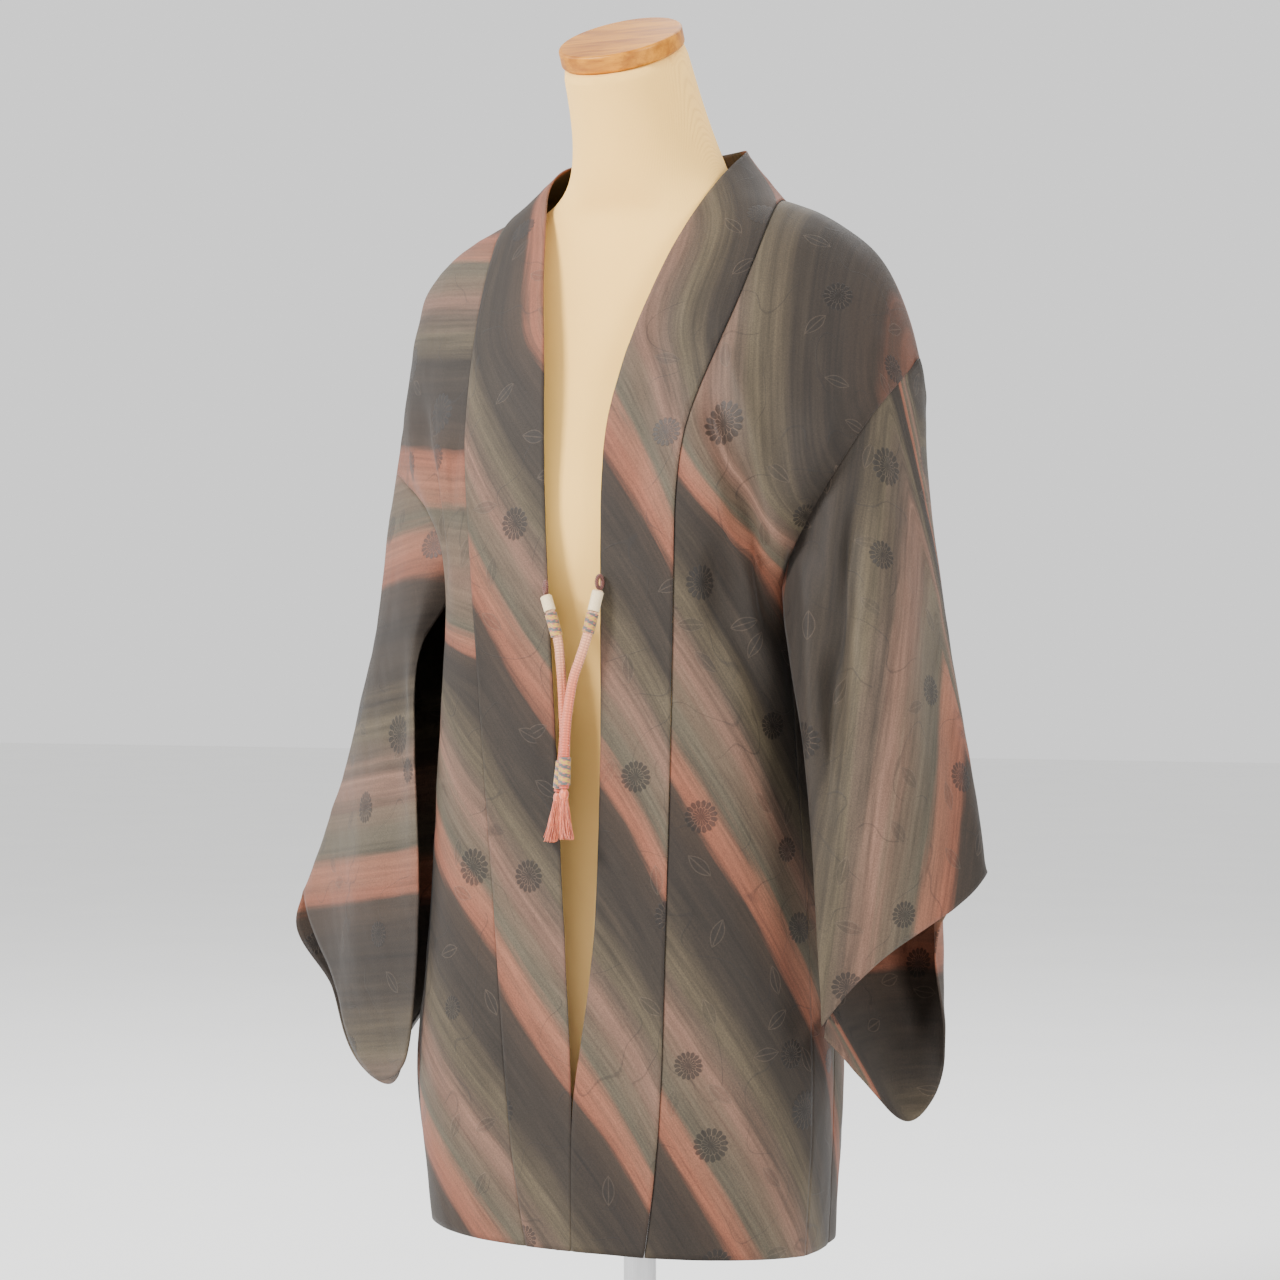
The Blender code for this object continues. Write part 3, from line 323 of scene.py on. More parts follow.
tassel_finish, shader, tone = new_finish("tassel_silk", 0.42, 0.5)
fibres = tone.noise(tone.stretched(tone.place(), (1.0, 1.0, 0.06)), 1400.0)
end_in(shader, Base_Color=tone.mix(dye("9A3416"), dye("E0703E"), fibres.rise(0.3, 0.7)),
       Normal=tone.relief(fibres, FINE_RELIEF))


def add_piece(name, mesh, finish, slot, *stands_for):
    """Put a finished mesh in the scene as a piece of the object."""
    piece = in_scene(name, mesh)
    mesh.materials.clear()
    mesh.materials.append(finish)
    for face in mesh.polygons:
        face.use_smooth = True
    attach(piece, "root")
    if stands_for:
        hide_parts(*stands_for)
    return piece


def made_mesh(maker):
    """The mesh that a curve or a modifier gives. Its maker is taken away again."""
    bpy.context.view_layer.update()
    mesh = bpy.data.meshes.new_from_object(
        maker.evaluated_get(bpy.context.evaluated_depsgraph_get()))
    bpy.data.objects.remove(maker)
    return mesh


def note_on(mesh, **measures):
    """Store measures on a mesh, a number for each point, for its finish to read."""
    for name, values in measures.items():
        mesh.attributes.new(name, "FLOAT", "POINT").data.foreach_set("value", values)


def smooth_route(route, steps):
    """Points along a smooth line through a route."""
    points = [Vector(p) for p in route]
    padded = [points[0] * 2 - points[1]] + points + [points[-1] * 2 - points[-2]]
    line = []
    for k in range(1, len(padded) - 2):
        before, start, end, after = padded[k - 1:k + 3]
        for step in range(steps):
            t = step / steps
            line.append(0.5 * ((2 * start) + (end - before) * t
                               + (2 * before - 5 * start + 4 * end - after) * t ** 2
                               + (3 * start - before - 3 * end + after) * t ** 3))
    return line + [points[-1]]


def laid_tube(name, lines, radius, resolution=3, closed=False):
    """Round cords along lines of points, as one mesh."""
    curve = bpy.data.curves.new(name, "CURVE")
    curve.dimensions = "3D"
    curve.bevel_depth = radius
    curve.bevel_resolution = resolution
    curve.use_fill_caps = not closed
    for line in lines:
        spline = curve.splines.new("POLY")
        spline.points.add(len(line) - 1)
        for spot, p in zip(spline.points, line):
            spot.co = (p[0], p[1], p[2], 1.0)
        spline.use_cyclic_u = closed
    return made_mesh(in_scene(name + "_line", curve))


def across(way):
    """The two directions at right angles to a cord's way: to the side and through its depth."""
    side = way.cross(Vector((0.0, 1.0, 0.0))).normalized()
    return side, way.cross(side)


def measure_round(mesh, line, flatness=(1.0, 1.0)):
    """Flatten a cord's mesh across its line and note each point's place along and around it."""
    lengths = [0.0]
    for a, b in zip(line, line[1:]):
        lengths.append(lengths[-1] + (b - a).length)
    along_values = []
    around_values = []
    for vertex in mesh.vertices:
        k = min(range(len(line)), key=lambda n: (vertex.co - line[n]).length_squared)
        ahead = (line[min(k + 1, len(line) - 1)] - line[max(k - 1, 0)]).normalized()
        side, depth = across(ahead)
        away = vertex.co - line[k]
        x, y, z = away.dot(side), away.dot(depth), away.dot(ahead)
        vertex.co = line[k] + side * x * flatness[0] + depth * y * flatness[1] + ahead * z
        along_values.append(lengths[k] + z)
        around_values.append(math.atan2(y, x))
    note_on(mesh, along=along_values, around=around_values)
    return mesh


def stood_along(way, place):
    """The matrix that turns an upright shape along a way and sets it at a place."""
    return Matrix.Translation(place) @ way.to_track_quat("Z", "Y").to_matrix().to_4x4()


WINDING_GAP = 0.0003              # between a cord and what is wound round it
WINDING_SIDES = 28
FEWEST_TURNS = 4
WINDING_STEPS = 12                # places along it that its points are measured from


def winding(name, start, end, wall, ripple):
    """Thread wound round a stretch of cord: a rippled profile spun about it."""
    inner = CORD_RADIUS + WINDING_GAP
    half = (end - start).length / 2.0
    ridges = 2 * max(FEWEST_TURNS, int(2.0 * half / WRAP_TURN))
    spots = [(inner, -half), (inner + wall * 0.5, -half)]
    for k in range(ridges + 1):
        spots.append((inner + wall - ripple * (k % 2),
                      -half + 2.0 * half * (k + 0.5) / (ridges + 2)))
    spots += [(inner + wall * 0.5, half), (inner, half)]
    bm = bmesh.new()
    loop = [bm.verts.new((r, 0.0, z)) for r, z in spots]
    edges = [bm.edges.new((loop[k], loop[(k + 1) % len(loop)])) for k in range(len(loop))]
    bmesh.ops.spin(bm, geom=loop + edges, cent=(0, 0, 0), axis=(0, 0, 1), dvec=(0, 0, 0),
                   angle=FULL_TURN, steps=WINDING_SIDES, use_merge=True)
    bmesh.ops.recalc_face_normals(bm, faces=bm.faces)
    bmesh.ops.transform(bm, matrix=stood_along(end - start, (start + end) / 2.0), verts=bm.verts)
    line = [start.lerp(end, k / WINDING_STEPS) for k in range(WINDING_STEPS + 1)]
    return measure_round(mesh_of(bm, name), line)


TASSEL_STRANDS = 110
STRAND_RADIUS = 0.00027
STRAND_STEPS = 6
SHORTEST_STRAND = 0.90            # of the longest
GOLDEN_TURN = 2.39996             # from a strand to the next, which spreads them evenly
STRAND_SWAY = 0.00035
SWAY_TURN = 5.0                   # of the sway, down a strand
SKIRT_RADIUS = 0.0040
SKIRT_TOP = 0.55                  # of that radius, where the strands leave the head
SKIRT_SPREAD = 0.75               # and how much more at their ends
SKIRT_CURVE = 0.7                 # below 1, so that it spreads mostly near the head
HEAD_HEIGHT = 0.0078
HEAD_RADIUS = 0.0034
HEAD_STRETCH = 1.35               # how much taller than round the head is
HEAD_MIDDLE = 0.55                # of its height, below the cord's end
STRANDS_FROM = 0.6                # of its height, where the strands start


def hung_tassel(name, top, fall, low, lean, seed):
    """Silk strands hanging in an uneven skirt, and the wound head that they hang from."""
    chance = random.Random(seed)
    side, depth = across(fall)
    lines = []
    for k in range(TASSEL_STRANDS):
        reach = math.sqrt((k + 0.5) / TASSEL_STRANDS)
        turn = k * GOLDEN_TURN
        length = (low - HEAD_HEIGHT) * chance.uniform(SHORTEST_STRAND, 1.0)
        wave = chance.uniform(0.0, FULL_TURN)
        line = []
        for step in range(STRAND_STEPS + 1):
            t = step / STRAND_STEPS
            spread = SKIRT_RADIUS * reach * (SKIRT_TOP + SKIRT_SPREAD * t ** SKIRT_CURVE)
            sway = STRAND_SWAY * math.sin(wave + SWAY_TURN * t)
            line.append(top + fall * (HEAD_HEIGHT * STRANDS_FROM + length * t)
                        + side * (spread * math.cos(turn) + sway + lean * t ** 2)
                        + depth * (spread * math.sin(turn) - sway))
        lines.append(line)
    bm = bmesh.new()
    bm.from_mesh(laid_tube(name, lines, STRAND_RADIUS, 0))
    head = bmesh.ops.create_uvsphere(bm, u_segments=24, v_segments=16,
                                     radius=HEAD_RADIUS)["verts"]
    bmesh.ops.scale(bm, vec=(1.0, 1.0, HEAD_STRETCH), verts=head)
    middle = top + fall * (HEAD_HEIGHT * HEAD_MIDDLE)
    bmesh.ops.transform(bm, matrix=stood_along(fall, middle), verts=head)
    return mesh_of(bm, name)


LOOPS = {"left": ((0.0380, -0.1375, 0.6682), (0.0, -1.0)),     # where it is sewn, and its way out
         "right": ((-0.0098, -0.1375, 0.6642), (0.6, -0.8))}
LOOP_RADIUS = 0.0046
LOOP_TWISTS = 9
LOOP_POINTS = 144
PLY_OFFSET = 0.00085              # of each of the two plies, from the loop's own line
PLY_RADIUS = 0.9 * PLY_OFFSET


def sewn_loop(name, sewn_at, way_out):
    """Two plies of cord twisted round each other and closed into a small upright ring."""
    x, y, z = sewn_at
    out_x, out_y = way_out
    plies = []
    for ply in (0.0, math.pi):
        ring = []
        for k in range(LOOP_POINTS):
            angle = FULL_TURN * k / LOOP_POINTS
            twist = LOOP_TWISTS * angle + ply
            reach = (LOOP_RADIUS * (1.0 - math.cos(angle))
                     - PLY_OFFSET * math.cos(twist) * math.cos(angle))
            lift = (LOOP_RADIUS + PLY_OFFSET * math.cos(twist)) * math.sin(angle)
            off = PLY_OFFSET * math.sin(twist)
            ring.append(Vector((x + out_x * reach - out_y * off,
                                y + out_y * reach + out_x * off, z + lift)))
        plies.append(ring)
    return laid_tube(name, plies, PLY_RADIUS, 2, closed=True)


WINDINGS = (
    # piece, stretch of the route, from and to in it, wall, ripple, finish, slot, stands for
    ("upper_winding_", 1, 0.08, 0.92, 0.0009, 0.0003, wound_finish, "wrap_thread", "upper_wrap_"),
    ("lower_winding_", 7, 0.10, 0.90, 0.0009, 0.0003, wound_finish, "wrap_thread", "lower_wrap_"),
    ("cream_end_", 0, 0.06, 0.98, 0.0007, 0.00015, cream_finish, "braid", None),
)
TIES = (
    # side, route, the tassel's lean, and the seed of its strands
    ("left", LEFT_ROUTE, 0.003, 3),
    ("right", RIGHT_ROUTE, -0.002, 8),
)
for word, route, lean, seed in TIES:
    line = smooth_route(route, STEPS)
    name = "tie_braid_" + word
    braid = measure_round(laid_tube(name, [line], CORD_RADIUS), line, CORD_FLATNESS)
    cord = add_piece(name, braid, braid_finish, "braid", "tie_cord_" + word)
    for piece, stretch, first, last, wall, ripple, finish, slot, stands_for in WINDINGS:
        a, b = Vector(route[stretch]), Vector(route[stretch + 1])
        wound = winding(piece + word, a.lerp(b, first), a.lerp(b, last), wall, ripple)
        nodes = [stands_for + word] if stands_for else []
        add_piece(piece + word, wound, finish, slot, *nodes)
    top = line[-1]
    fall = (line[-1] - line[-2]).normalized()
    low = (top.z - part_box("tassel_" + word)[0].z) / -fall.z
    name = "silk_tassel_" + word
    add_piece(name, hung_tassel(name, top, fall, low, lean, seed),
                             tassel_finish, "tassel_silk", "tassel_" + word)
    length = sum((q - p).length for p, q in zip(line, line[1:]))
    name = "sewn_loop_" + word
    add_piece(name, sewn_loop(name, *LOOPS[word]), loop_finish, "loop_cord", "loop_" + word)


# ---- Form and stand ------------------------------------------------------------------------
# A limbless dress form: padded torso and leaning neck under one tight skin of cream knit, a
# turned wooden cap on the neck, and a steel pole that stands in a round wooden base.
WALE = 0.0019                     # spacing of the knit's columns
COURSE = 0.0015                   # and of its rows
KNIT_RELIEF = 0.0003
FORM_SMOOTHING = 2
SHARP_EDGE = math.radians(50.0)   # edges that turn more than this are held
EDGE_HELD = 0.9
MERGE_GAP = 0.00002
QUAD_BEND = math.radians(50.0)    # the most that two triangles may bend and slant as one face
QUAD_SLANT = math.radians(60.0)

knit_finish, shader, tone = new_finish("cream_jersey", 0.85, 0.08)
place = tone.place()
x, y, z = tone.parts(place)
wales = (x * (FULL_TURN / WALE)).sine().size()
courses = (z * (FULL_TURN / COURSE)).sine().size()
stitch = tone.highest(wales, courses)
cream = tone.mix(dye("F3BE5E"), dye("F9C96E"), tone.noise(place, 9.0, 4.0))
# painted shade: the cream darkens towards D0933F in the small holes between the knit's stitches
cream = tone.mix(cream, dye("D0933F"), (1.0 - stitch.rise(0.05, 0.7)) * 0.30)
cream = tone.mix(dye("F3C583"), cream, z.rise(0.20, 0.75))
end_in(shader, Base_Color=cream,
       Normal=tone.relief(stitch + tone.noise(place, 1600.0) * 0.4, KNIT_RELIEF, 0.8))


def merged_copy(node):
    """A copy of a CAD solid with its loose triangles joined up again, by twos where they can."""
    bm = bmesh.new()
    bm.from_mesh(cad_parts[node].data)
    bmesh.ops.remove_doubles(bm, verts=bm.verts, dist=MERGE_GAP)
    bmesh.ops.join_triangles(bm, faces=bm.faces, angle_face_threshold=QUAD_BEND,
                             angle_shape_threshold=QUAD_SLANT)
    return bm


def subdivided(mesh, name, levels, rim="ALL"):
    """A mesh with its faces divided and rounded, and its open rim rounded as asked."""
    maker = in_scene(name, mesh)
    smoother = maker.modifiers.new("smooth", "SUBSURF")
    smoother.levels = levels
    smoother.render_levels = levels
    smoother.boundary_smooth = rim
    return made_mesh(maker)


def padded(node, name):
    """The form's skin, rounded over its padding but held where it turns sharply."""
    bm = merged_copy(node)
    crease = bm.edges.layers.float.new("crease_edge")
    for edge in bm.edges:
        if len(edge.link_faces) == 2 and edge.calc_face_angle() > SHARP_EDGE:
            edge[crease] = EDGE_HELD
    return subdivided(mesh_of(bm, name), name, FORM_SMOOTHING)


add_piece("padded_form", padded("form_torso", "padded_form"), knit_finish, "jersey",
          "form_torso")

wood_finish, shader, tone = new_finish("honey_wood", 0.34)
shader.inputs["Specular IOR Level"].default_value = 0.3
place = tone.place()
rings = tone.noise(tone.stretched(place, (1.0, 7.0, 7.0)), 14.0, 5.0, 0.6)
pores = tone.noise(tone.stretched(place, (1.0, 14.0, 14.0)), 90.0, 2.0)
honey = tone.mix(dye("8A4E02"), dye("BF7C0C"), rings.rise(0.32, 0.68))
honey = tone.mix(honey, dye("552B06"), pores.rise(0.60, 0.80) * 0.55)
end_in(shader, Base_Color=honey, Roughness=0.30 + rings * 0.18,
       Normal=tone.relief(pores, FINE_RELIEF, 0.5))

steel_finish, shader, tone = new_finish("pole_steel", 0.3)
shader.inputs["Metallic"].default_value = 1.0
brushed = tone.noise(tone.stretched(tone.place(), (60.0, 60.0, 1.0)), 30.0)
end_in(shader, Base_Color=tone.mix(dye("A6A6A8"), dye("CFCFD0"), brushed),
       Roughness=0.24 + brushed * 0.16)

NECK_TOP = (0.0, -0.028, 1.072)
CAP_LEAN = math.radians(27.0)     # as the neck leans
CAP_RADIUS = 0.0480
CAP_HEIGHT = 0.0140
CAP_EDGE = 0.0022
CAP_GAP = 0.0003                  # between the neck and the cap
BASE_EDGE = 0.004
POLE_EDGE = 0.0006
DISC_SIDES = 96
EDGE_STEPS = 4
LEVEL = 1e-6                      # a rim's edges lie level, to within this


def turned_disc(name, radius, height, edge, matrix):
    """A disc turned on a lathe, its edges rounded."""
    bm = bmesh.new()
    bmesh.ops.create_cone(bm, cap_ends=True, segments=DISC_SIDES, radius1=radius,
                          radius2=radius, depth=height)
    rims = [e for e in bm.edges if abs(e.verts[0].co.z - e.verts[1].co.z) < LEVEL]
    bmesh.ops.bevel(bm, geom=rims, offset=edge, segments=EDGE_STEPS, profile=0.5,
                    affect="EDGES", material=-1)
    bmesh.ops.transform(bm, matrix=matrix, verts=bm.verts)
    return mesh_of(bm, name)


lean = Matrix.Rotation(CAP_LEAN, 4, "X")
seat = Vector(NECK_TOP) + lean @ Vector((0.0, 0.0, CAP_GAP + CAP_HEIGHT / 2.0))
cap = turned_disc("turned_cap", CAP_RADIUS, CAP_HEIGHT, CAP_EDGE,
                  Matrix.Translation(seat) @ lean)
add_piece("turned_cap", cap, wood_finish, "cap_wood", "neck_cap")

for name, node, edge, finish, slot in (
        ("turned_base", "stand_base", BASE_EDGE, wood_finish, "stand_wood"),
        ("steel_pole", "stand_pole", POLE_EDGE, steel_finish, "stand_steel")):
    low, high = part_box(node)
    middle = Matrix.Translation((0.0, 0.0, (low.z + high.z) / 2.0))
    add_piece(name, turned_disc(name, high.x, high.z - low.z, edge, middle), finish, slot, node)


# ---- Jacket --------------------------------------------------------------------------------
# A haori of soft silk crepe: two body widths sewn down the back, a gusset under each arm, two
# wide sleeves hanging open at the body side, and a folded collar band right round the front.
# The cloth is dyed in blurred bands, with chrysanthemums, leaves and vines woven in it.
CLOTH = 0.0013                    # its thickness
SMOOTHING = 3                     # times that a panel's faces are divided
RIM_EDGE = 0.0034                 # the faces of a wall's rim have an edge shorter than this

BANDS = (
    (0.00, dye("221B15")), (0.16, dye("261F18")), (0.24, dye("352D22")), (0.31, dye("433A2C")),
    (0.38, dye("40342A")), (0.48, dye("5F4639")), (0.56, dye("4D3F32")), (0.67, dye("423B2F")),
    (0.74, dye("6A4433")), (0.82, dye("693E2D")), (0.875, dye("2A2018")), (1.00, dye("221B15")),
)
BAND_WANDER = (7.0, 0.07)         # waves of a band's edge to a metre, and how far it strays
BRUSH_BLUR = 0.16                 # how far the brush strokes carry one band into the next
BRUSH_STROKES = (14.0, 5.0)       # to a band across it, and to a metre along it
BRUSH_HAIRS = (60.0, 14.0)
MOTTLING = 22.0                   # to a metre, as are the yarn and its crimp
YARN = 950.0
CRIMP = 700.0

FLOWER_SPACING = 0.082
FLOWER_SCATTER = 0.78             # 0 would lay them in rows
FLOWER_RADIUS = 0.0125
FLOWER_SIZES = (0.75, 0.5)        # of that radius: the smallest, and what the largest has more
FLOWER_TURN = 6.0                 # a flower may lie any way round
FLOWERS_SHOWN = (0.30, 0.34)      # the share that is left out, and the soft step past it
PETALS = 16
INNER_TURN = 1.2                  # how far the inner ring's petals are turned from the outer's
OUTER_RING = (0.84, 0.16, 0.07)   # reach between the petals, what a petal adds, soft edge
INNER_RING = (0.50, 0.10, 0.06)
INNER_LINE = (0.46, 0.10, 0.04)   # where the line round the inner ring starts
HEART = (0.20, 0.05)              # reach and soft edge
PETAL_LINE = (0.05, 0.34)         # the line between two petals, from its middle to its edge

LEAVES = 24.0                     # to a metre
LEAF_SCATTER = 1.0
LEAF_TURN = 6.2832                # a leaf may lie any way round too
LEAF_LENGTH = 0.0115              # from its middle to its tip
LEAF_WIDTH = 0.0052               # and to its side
LEAF_EDGE = (0.0, 0.10)           # soft steps, as shares of a leaf's half width
LEAF_RIB = (0.03, 0.13)
LEAF_RIM = (0.10, 0.28)
LEAVES_SHOWN = (0.55, 0.59)

VINES = (17.0, 1.0, 0.4)          # a slow noise, and the vines run where it crosses its middle
VINE_EDGE = (0.001, 0.0065)
VINE_BREAKS = (23.0, 0.5, 0.4)    # a second noise, which breaks them
VINES_SHOWN = (0.44, 0.52)
WEAVE_RELIEF = 0.00035


def scattered(tone, cloth, scale, scatter):
    """Spots scattered over the cloth: a point's way across and along from the nearest, and
    three chances of that spot's own."""
    spot = tone.node("ShaderNodeTexVoronoi", {"voronoi_dimensions": "2D"},
                     {"Vector": cloth, "Scale": scale, "Randomness": scatter}, 2)
    way = tone.node("ShaderNodeVectorMath", {"operation": "SUBTRACT"}, {0: cloth, 1: spot})
    chances = Tone(tone.tree, spot.socket.node.outputs[1])
    return tone.parts(way)[:2] + tone.parts(chances)


def petal_ring(petal, reach, ring):
    """1 inside a ring of petals and 0 outside it."""
    between, rise, soft = ring
    return (between + petal * rise - reach).rise(0.0, soft)


def chrysanthemums(tone, cloth):
    """Round flowers of two rings of petals: where they lie, and the fine lines in them."""
    u, v, size_share, shown, turn_share = scattered(tone, cloth, 1.0 / FLOWER_SPACING,
                                                    FLOWER_SCATTER)
    smallest, more = FLOWER_SIZES
    reach = tone.maths("SQRT", u * u + v * v) / (FLOWER_RADIUS * (smallest + size_share * more))
    angle = tone.maths("ARCTAN2", v, u) + turn_share * FLOWER_TURN
    petal = (angle * (PETALS / 2.0)).sine().size()
    inner_petal = (angle * (PETALS / 2.0) + INNER_TURN).sine().size()
    inner_ring = petal_ring(inner_petal, reach, INNER_RING)
    lines = tone.highest((1.0 - petal.rise(*PETAL_LINE)) * (1.0 - inner_ring),
                         (1.0 - inner_petal.rise(*PETAL_LINE)) * inner_ring,
                         inner_ring * (1.0 - petal_ring(inner_petal, reach, INNER_LINE)))
    bloom = petal_ring(petal, reach, OUTER_RING) * shown.rise(*FLOWERS_SHOWN)
    heart = (HEART[0] - reach).rise(0.0, HEART[1])
    return bloom, lines * bloom * (1.0 - heart)


def leaves(tone, cloth, bloom):
    """Pointed leaves between the flowers: where they lie, their ribs and their rims."""
    p, q, turn_share, shown, _ = scattered(tone, cloth, LEAVES, LEAF_SCATTER)
    turn = turn_share * LEAF_TURN
    turn_cos = tone.maths("COSINE", turn)
    turn_sin = turn.sine()
    length_way = (p * turn_cos + q * turn_sin) / LEAF_LENGTH
    width_way = (q * turn_cos - p * turn_sin) / LEAF_WIDTH
    inside = 1.0 - length_way * length_way - width_way.size()
    leaf = inside.rise(*LEAF_EDGE) * shown.rise(*LEAVES_SHOWN) * (1.0 - bloom)
    rib = (1.0 - width_way.size().rise(*LEAF_RIB)) * leaf
    return leaf, rib, leaf * (1.0 - inside.rise(*LEAF_RIM))


def vines(tone, cloth, bloom, leaf):
    """Thin winding stems between the flowers and the leaves."""
    stem = 1.0 - (tone.noise(cloth, *VINES) - 0.5).size().rise(*VINE_EDGE)
    shown = tone.noise(cloth, *VINE_BREAKS).rise(*VINES_SHOWN)
    return stem * shown * (1.0 - bloom) * (1.0 - leaf)


crepe_finish, shader, tone = new_finish("patterned_crepe", 0.74, 0.04)
shader.inputs["Specular IOR Level"].default_value = 0.25
cloth = tone.node("ShaderNodeUVMap", {"uv_map": "cloth"})
band = tone.measured("band")
run = tone.measured("run")

# the dyed ground: strokes and hairs run along the bands, and a band's edge wanders
stroke_place = tone.together(band * BRUSH_STROKES[0], run * BRUSH_STROKES[1])
strokes = tone.noise(stroke_place, 1.0, 4.0, 0.6) - 0.5
hair_place = tone.together(band * BRUSH_HAIRS[0], run * BRUSH_HAIRS[1], 4.0)
hairs = tone.noise(hair_place, 1.0, 3.0, 0.6) - 0.5
wander = (tone.noise(cloth, BAND_WANDER[0], 2.0) - 0.5) * BAND_WANDER[1]
spot = tone.maths("FRACT", band + wander + strokes * BRUSH_BLUR + 1.0)
ground = tone.node("ShaderNodeValToRGB", {"stops": BANDS}, {0: spot})

# the weave: flowers, leaves and vines a little darker, and their lines, ribs and rims lighter
bloom, bloom_lines = chrysanthemums(tone, cloth)
leaf, rib, rim = leaves(tone, cloth, bloom)
vine = vines(tone, cloth, bloom, leaf)
dark_weave = tone.highest(bloom * (1.0 - bloom_lines), leaf * 0.40, vine * 0.50)
light_weave = tone.highest(bloom_lines * 0.6, rim * 0.7, rib * 0.6)
tint = tone.mix(ground, dye("0F0A07"), dark_weave * 0.68)
tint = tone.mix(tint, dye("7D6A58"), light_weave * 0.17)

# the yarn: its grain, its streaks and mottling, and the crimp that raises it
grain = tone.noise(tone.place(), YARN, 2.0, 0.7)
streak = 1.0 + strokes * 1.1 + hairs * 1.2
mottle = 0.90 + tone.noise(cloth, MOTTLING, 4.0, 0.6) * 0.20
value = streak * mottle * (0.45 + grain * 1.1)
colour = tone.mix(tint, tone.together(value, value, value), 1.0, "MULTIPLY")
crimp = grain + tone.noise(tone.stretched(cloth, (3.0, 1.0, 1.0)), CRIMP, 1.0) * 0.6
raised = crimp * 0.5 + dark_weave * 0.5 + light_weave * 0.3
end_in(shader, Base_Color=colour, Roughness=0.70 - dark_weave * 0.18,
       Normal=tone.relief(raised, WEAVE_RELIEF, 0.9))


def outer_face(node):
    """The outer side of a panel's wall, as one open sheet of four-sided faces."""
    bm = merged_copy(node)
    thin = [f for f in bm.faces if min(e.calc_length() for e in f.edges) < RIM_EDGE]
    bmesh.ops.delete(bm, geom=thin, context="FACES")
    sides = []
    left = set(bm.faces)
    while left:
        side = [left.pop()]
        for face in side:
            for edge in face.edges:
                for other in edge.link_faces:
                    if other in left:
                        left.remove(other)
                        side.append(other)
        sides.append(side)
    sides.sort(key=lambda side: sum(f.calc_area() for f in side))
    keep = set(sides[-1])
    bmesh.ops.delete(bm, geom=[f for f in bm.faces if f not in keep], context="FACES")
    return bm


def lay_flat(mesh):
    """Give a sheet its cloth map in metres, the cloth's length running as upright as it can."""
    maker = in_scene("flat_maker", mesh)
    for chosen in bpy.context.selected_objects:
        chosen.select_set(False)
    bpy.context.view_layer.objects.active = maker
    maker.select_set(True)
    mesh.uv_layers.new(name="cloth")
    bpy.ops.object.mode_set(mode="EDIT")
    bpy.ops.mesh.select_all(action="SELECT")
    bpy.ops.uv.unwrap(method="MINIMUM_STRETCH", margin=0.0)
    bpy.ops.object.mode_set(mode="OBJECT")
    flat = np.empty(len(mesh.loops) * 2)
    mesh.uv_layers["cloth"].data.foreach_get("uv", flat)
    flat = flat.reshape(-1, 2)
    corners = np.empty(len(mesh.loops), dtype=int)
    mesh.loops.foreach_get("vertex_index", corners)
    places = np.array([v.co for v in mesh.vertices])[corners]
    real = sum(face.area for face in mesh.polygons)
    drawn = 0.0
    for face in mesh.polygons:
        ring = flat[list(face.loop_indices)]
        after = np.roll(ring, -1, axis=0)
        drawn += abs(float(np.sum(ring[:, 0] * after[:, 1] - after[:, 0] * ring[:, 1]))) / 2.0
    flat = (flat - flat.mean(0)) * math.sqrt(real / drawn)
    height = places[:, 2] - places[:, 2].mean()
    up = np.array([float((flat[:, 0] * height).sum()), float((flat[:, 1] * height).sum())])
    up /= np.linalg.norm(up)
    turned = np.stack([flat @ np.array([up[1], -up[0]]), flat @ up], axis=1)
    mesh.uv_layers["cloth"].data.foreach_set("uv", turned.ravel())
    bpy.data.objects.remove(maker)
    return mesh


SEAM_CLOSED = 0.00022             # how far a panel's edge reaches into its seam
BACK_CLOSED = 0.00042             # and down the middle of the back
BACK_SEAM = 0.0012                # the middle seam's edges are nearer the middle than this


def close_seams(mesh):
    """Bring a panel's edges up to the seams, so that no light shows between two panels."""
    bm = bmesh.new()
    bm.from_mesh(mesh)
    moves = []
    for vertex in bm.verts:
        if not vertex.is_boundary:
            continue
        inner = [e.other_vert(vertex).co for e in vertex.link_edges if not e.is_boundary]
        if inner:
            away = vertex.co - sum(inner, Vector()) / len(inner)
            reach = BACK_CLOSED if abs(vertex.co.x) < BACK_SEAM else SEAM_CLOSED
            moves.append((vertex, away.normalized() * reach))
    for vertex, move in moves:
        vertex.co += move
    bm.to_mesh(mesh)
    bm.free()


def smooth_share(values, low, high):
    """0 below low, 1 above high, smooth between them, for a whole row of values."""
    t = np.clip((values - low) / (high - low), 0.0, 1.0)
    return t * t * (3.0 - 2.0 * t)


FOLD_START = 0.018                # how far in from a seam a fold is at its full depth


def held_at_seams(mesh):
    """0 on a panel's edges and 1 inside it, because a fold dies out towards a seam."""
    ends = {}
    for face in mesh.polygons:
        for key in face.edge_keys:
            ends[key] = ends.get(key, 0) + 1
    rim = sorted({v for key, faces in ends.items() if faces == 1 for v in key})
    near = kdtree.KDTree(len(rim))
    for k, v in enumerate(rim):
        near.insert(mesh.vertices[v].co, k)
    near.balance()
    return smooth_share(np.array([near.find(v.co)[2] for v in mesh.vertices]), 0.0, FOLD_START)


FACING = 0.4                      # how far cloth has to face a fold's side to take all of it
FOLD_END = 0.22                   # the share of a fold's line in which each end fades
FOLD_LEAST = 0.15                 # the share of its depth that is left there
FAR_OFF = 9.0


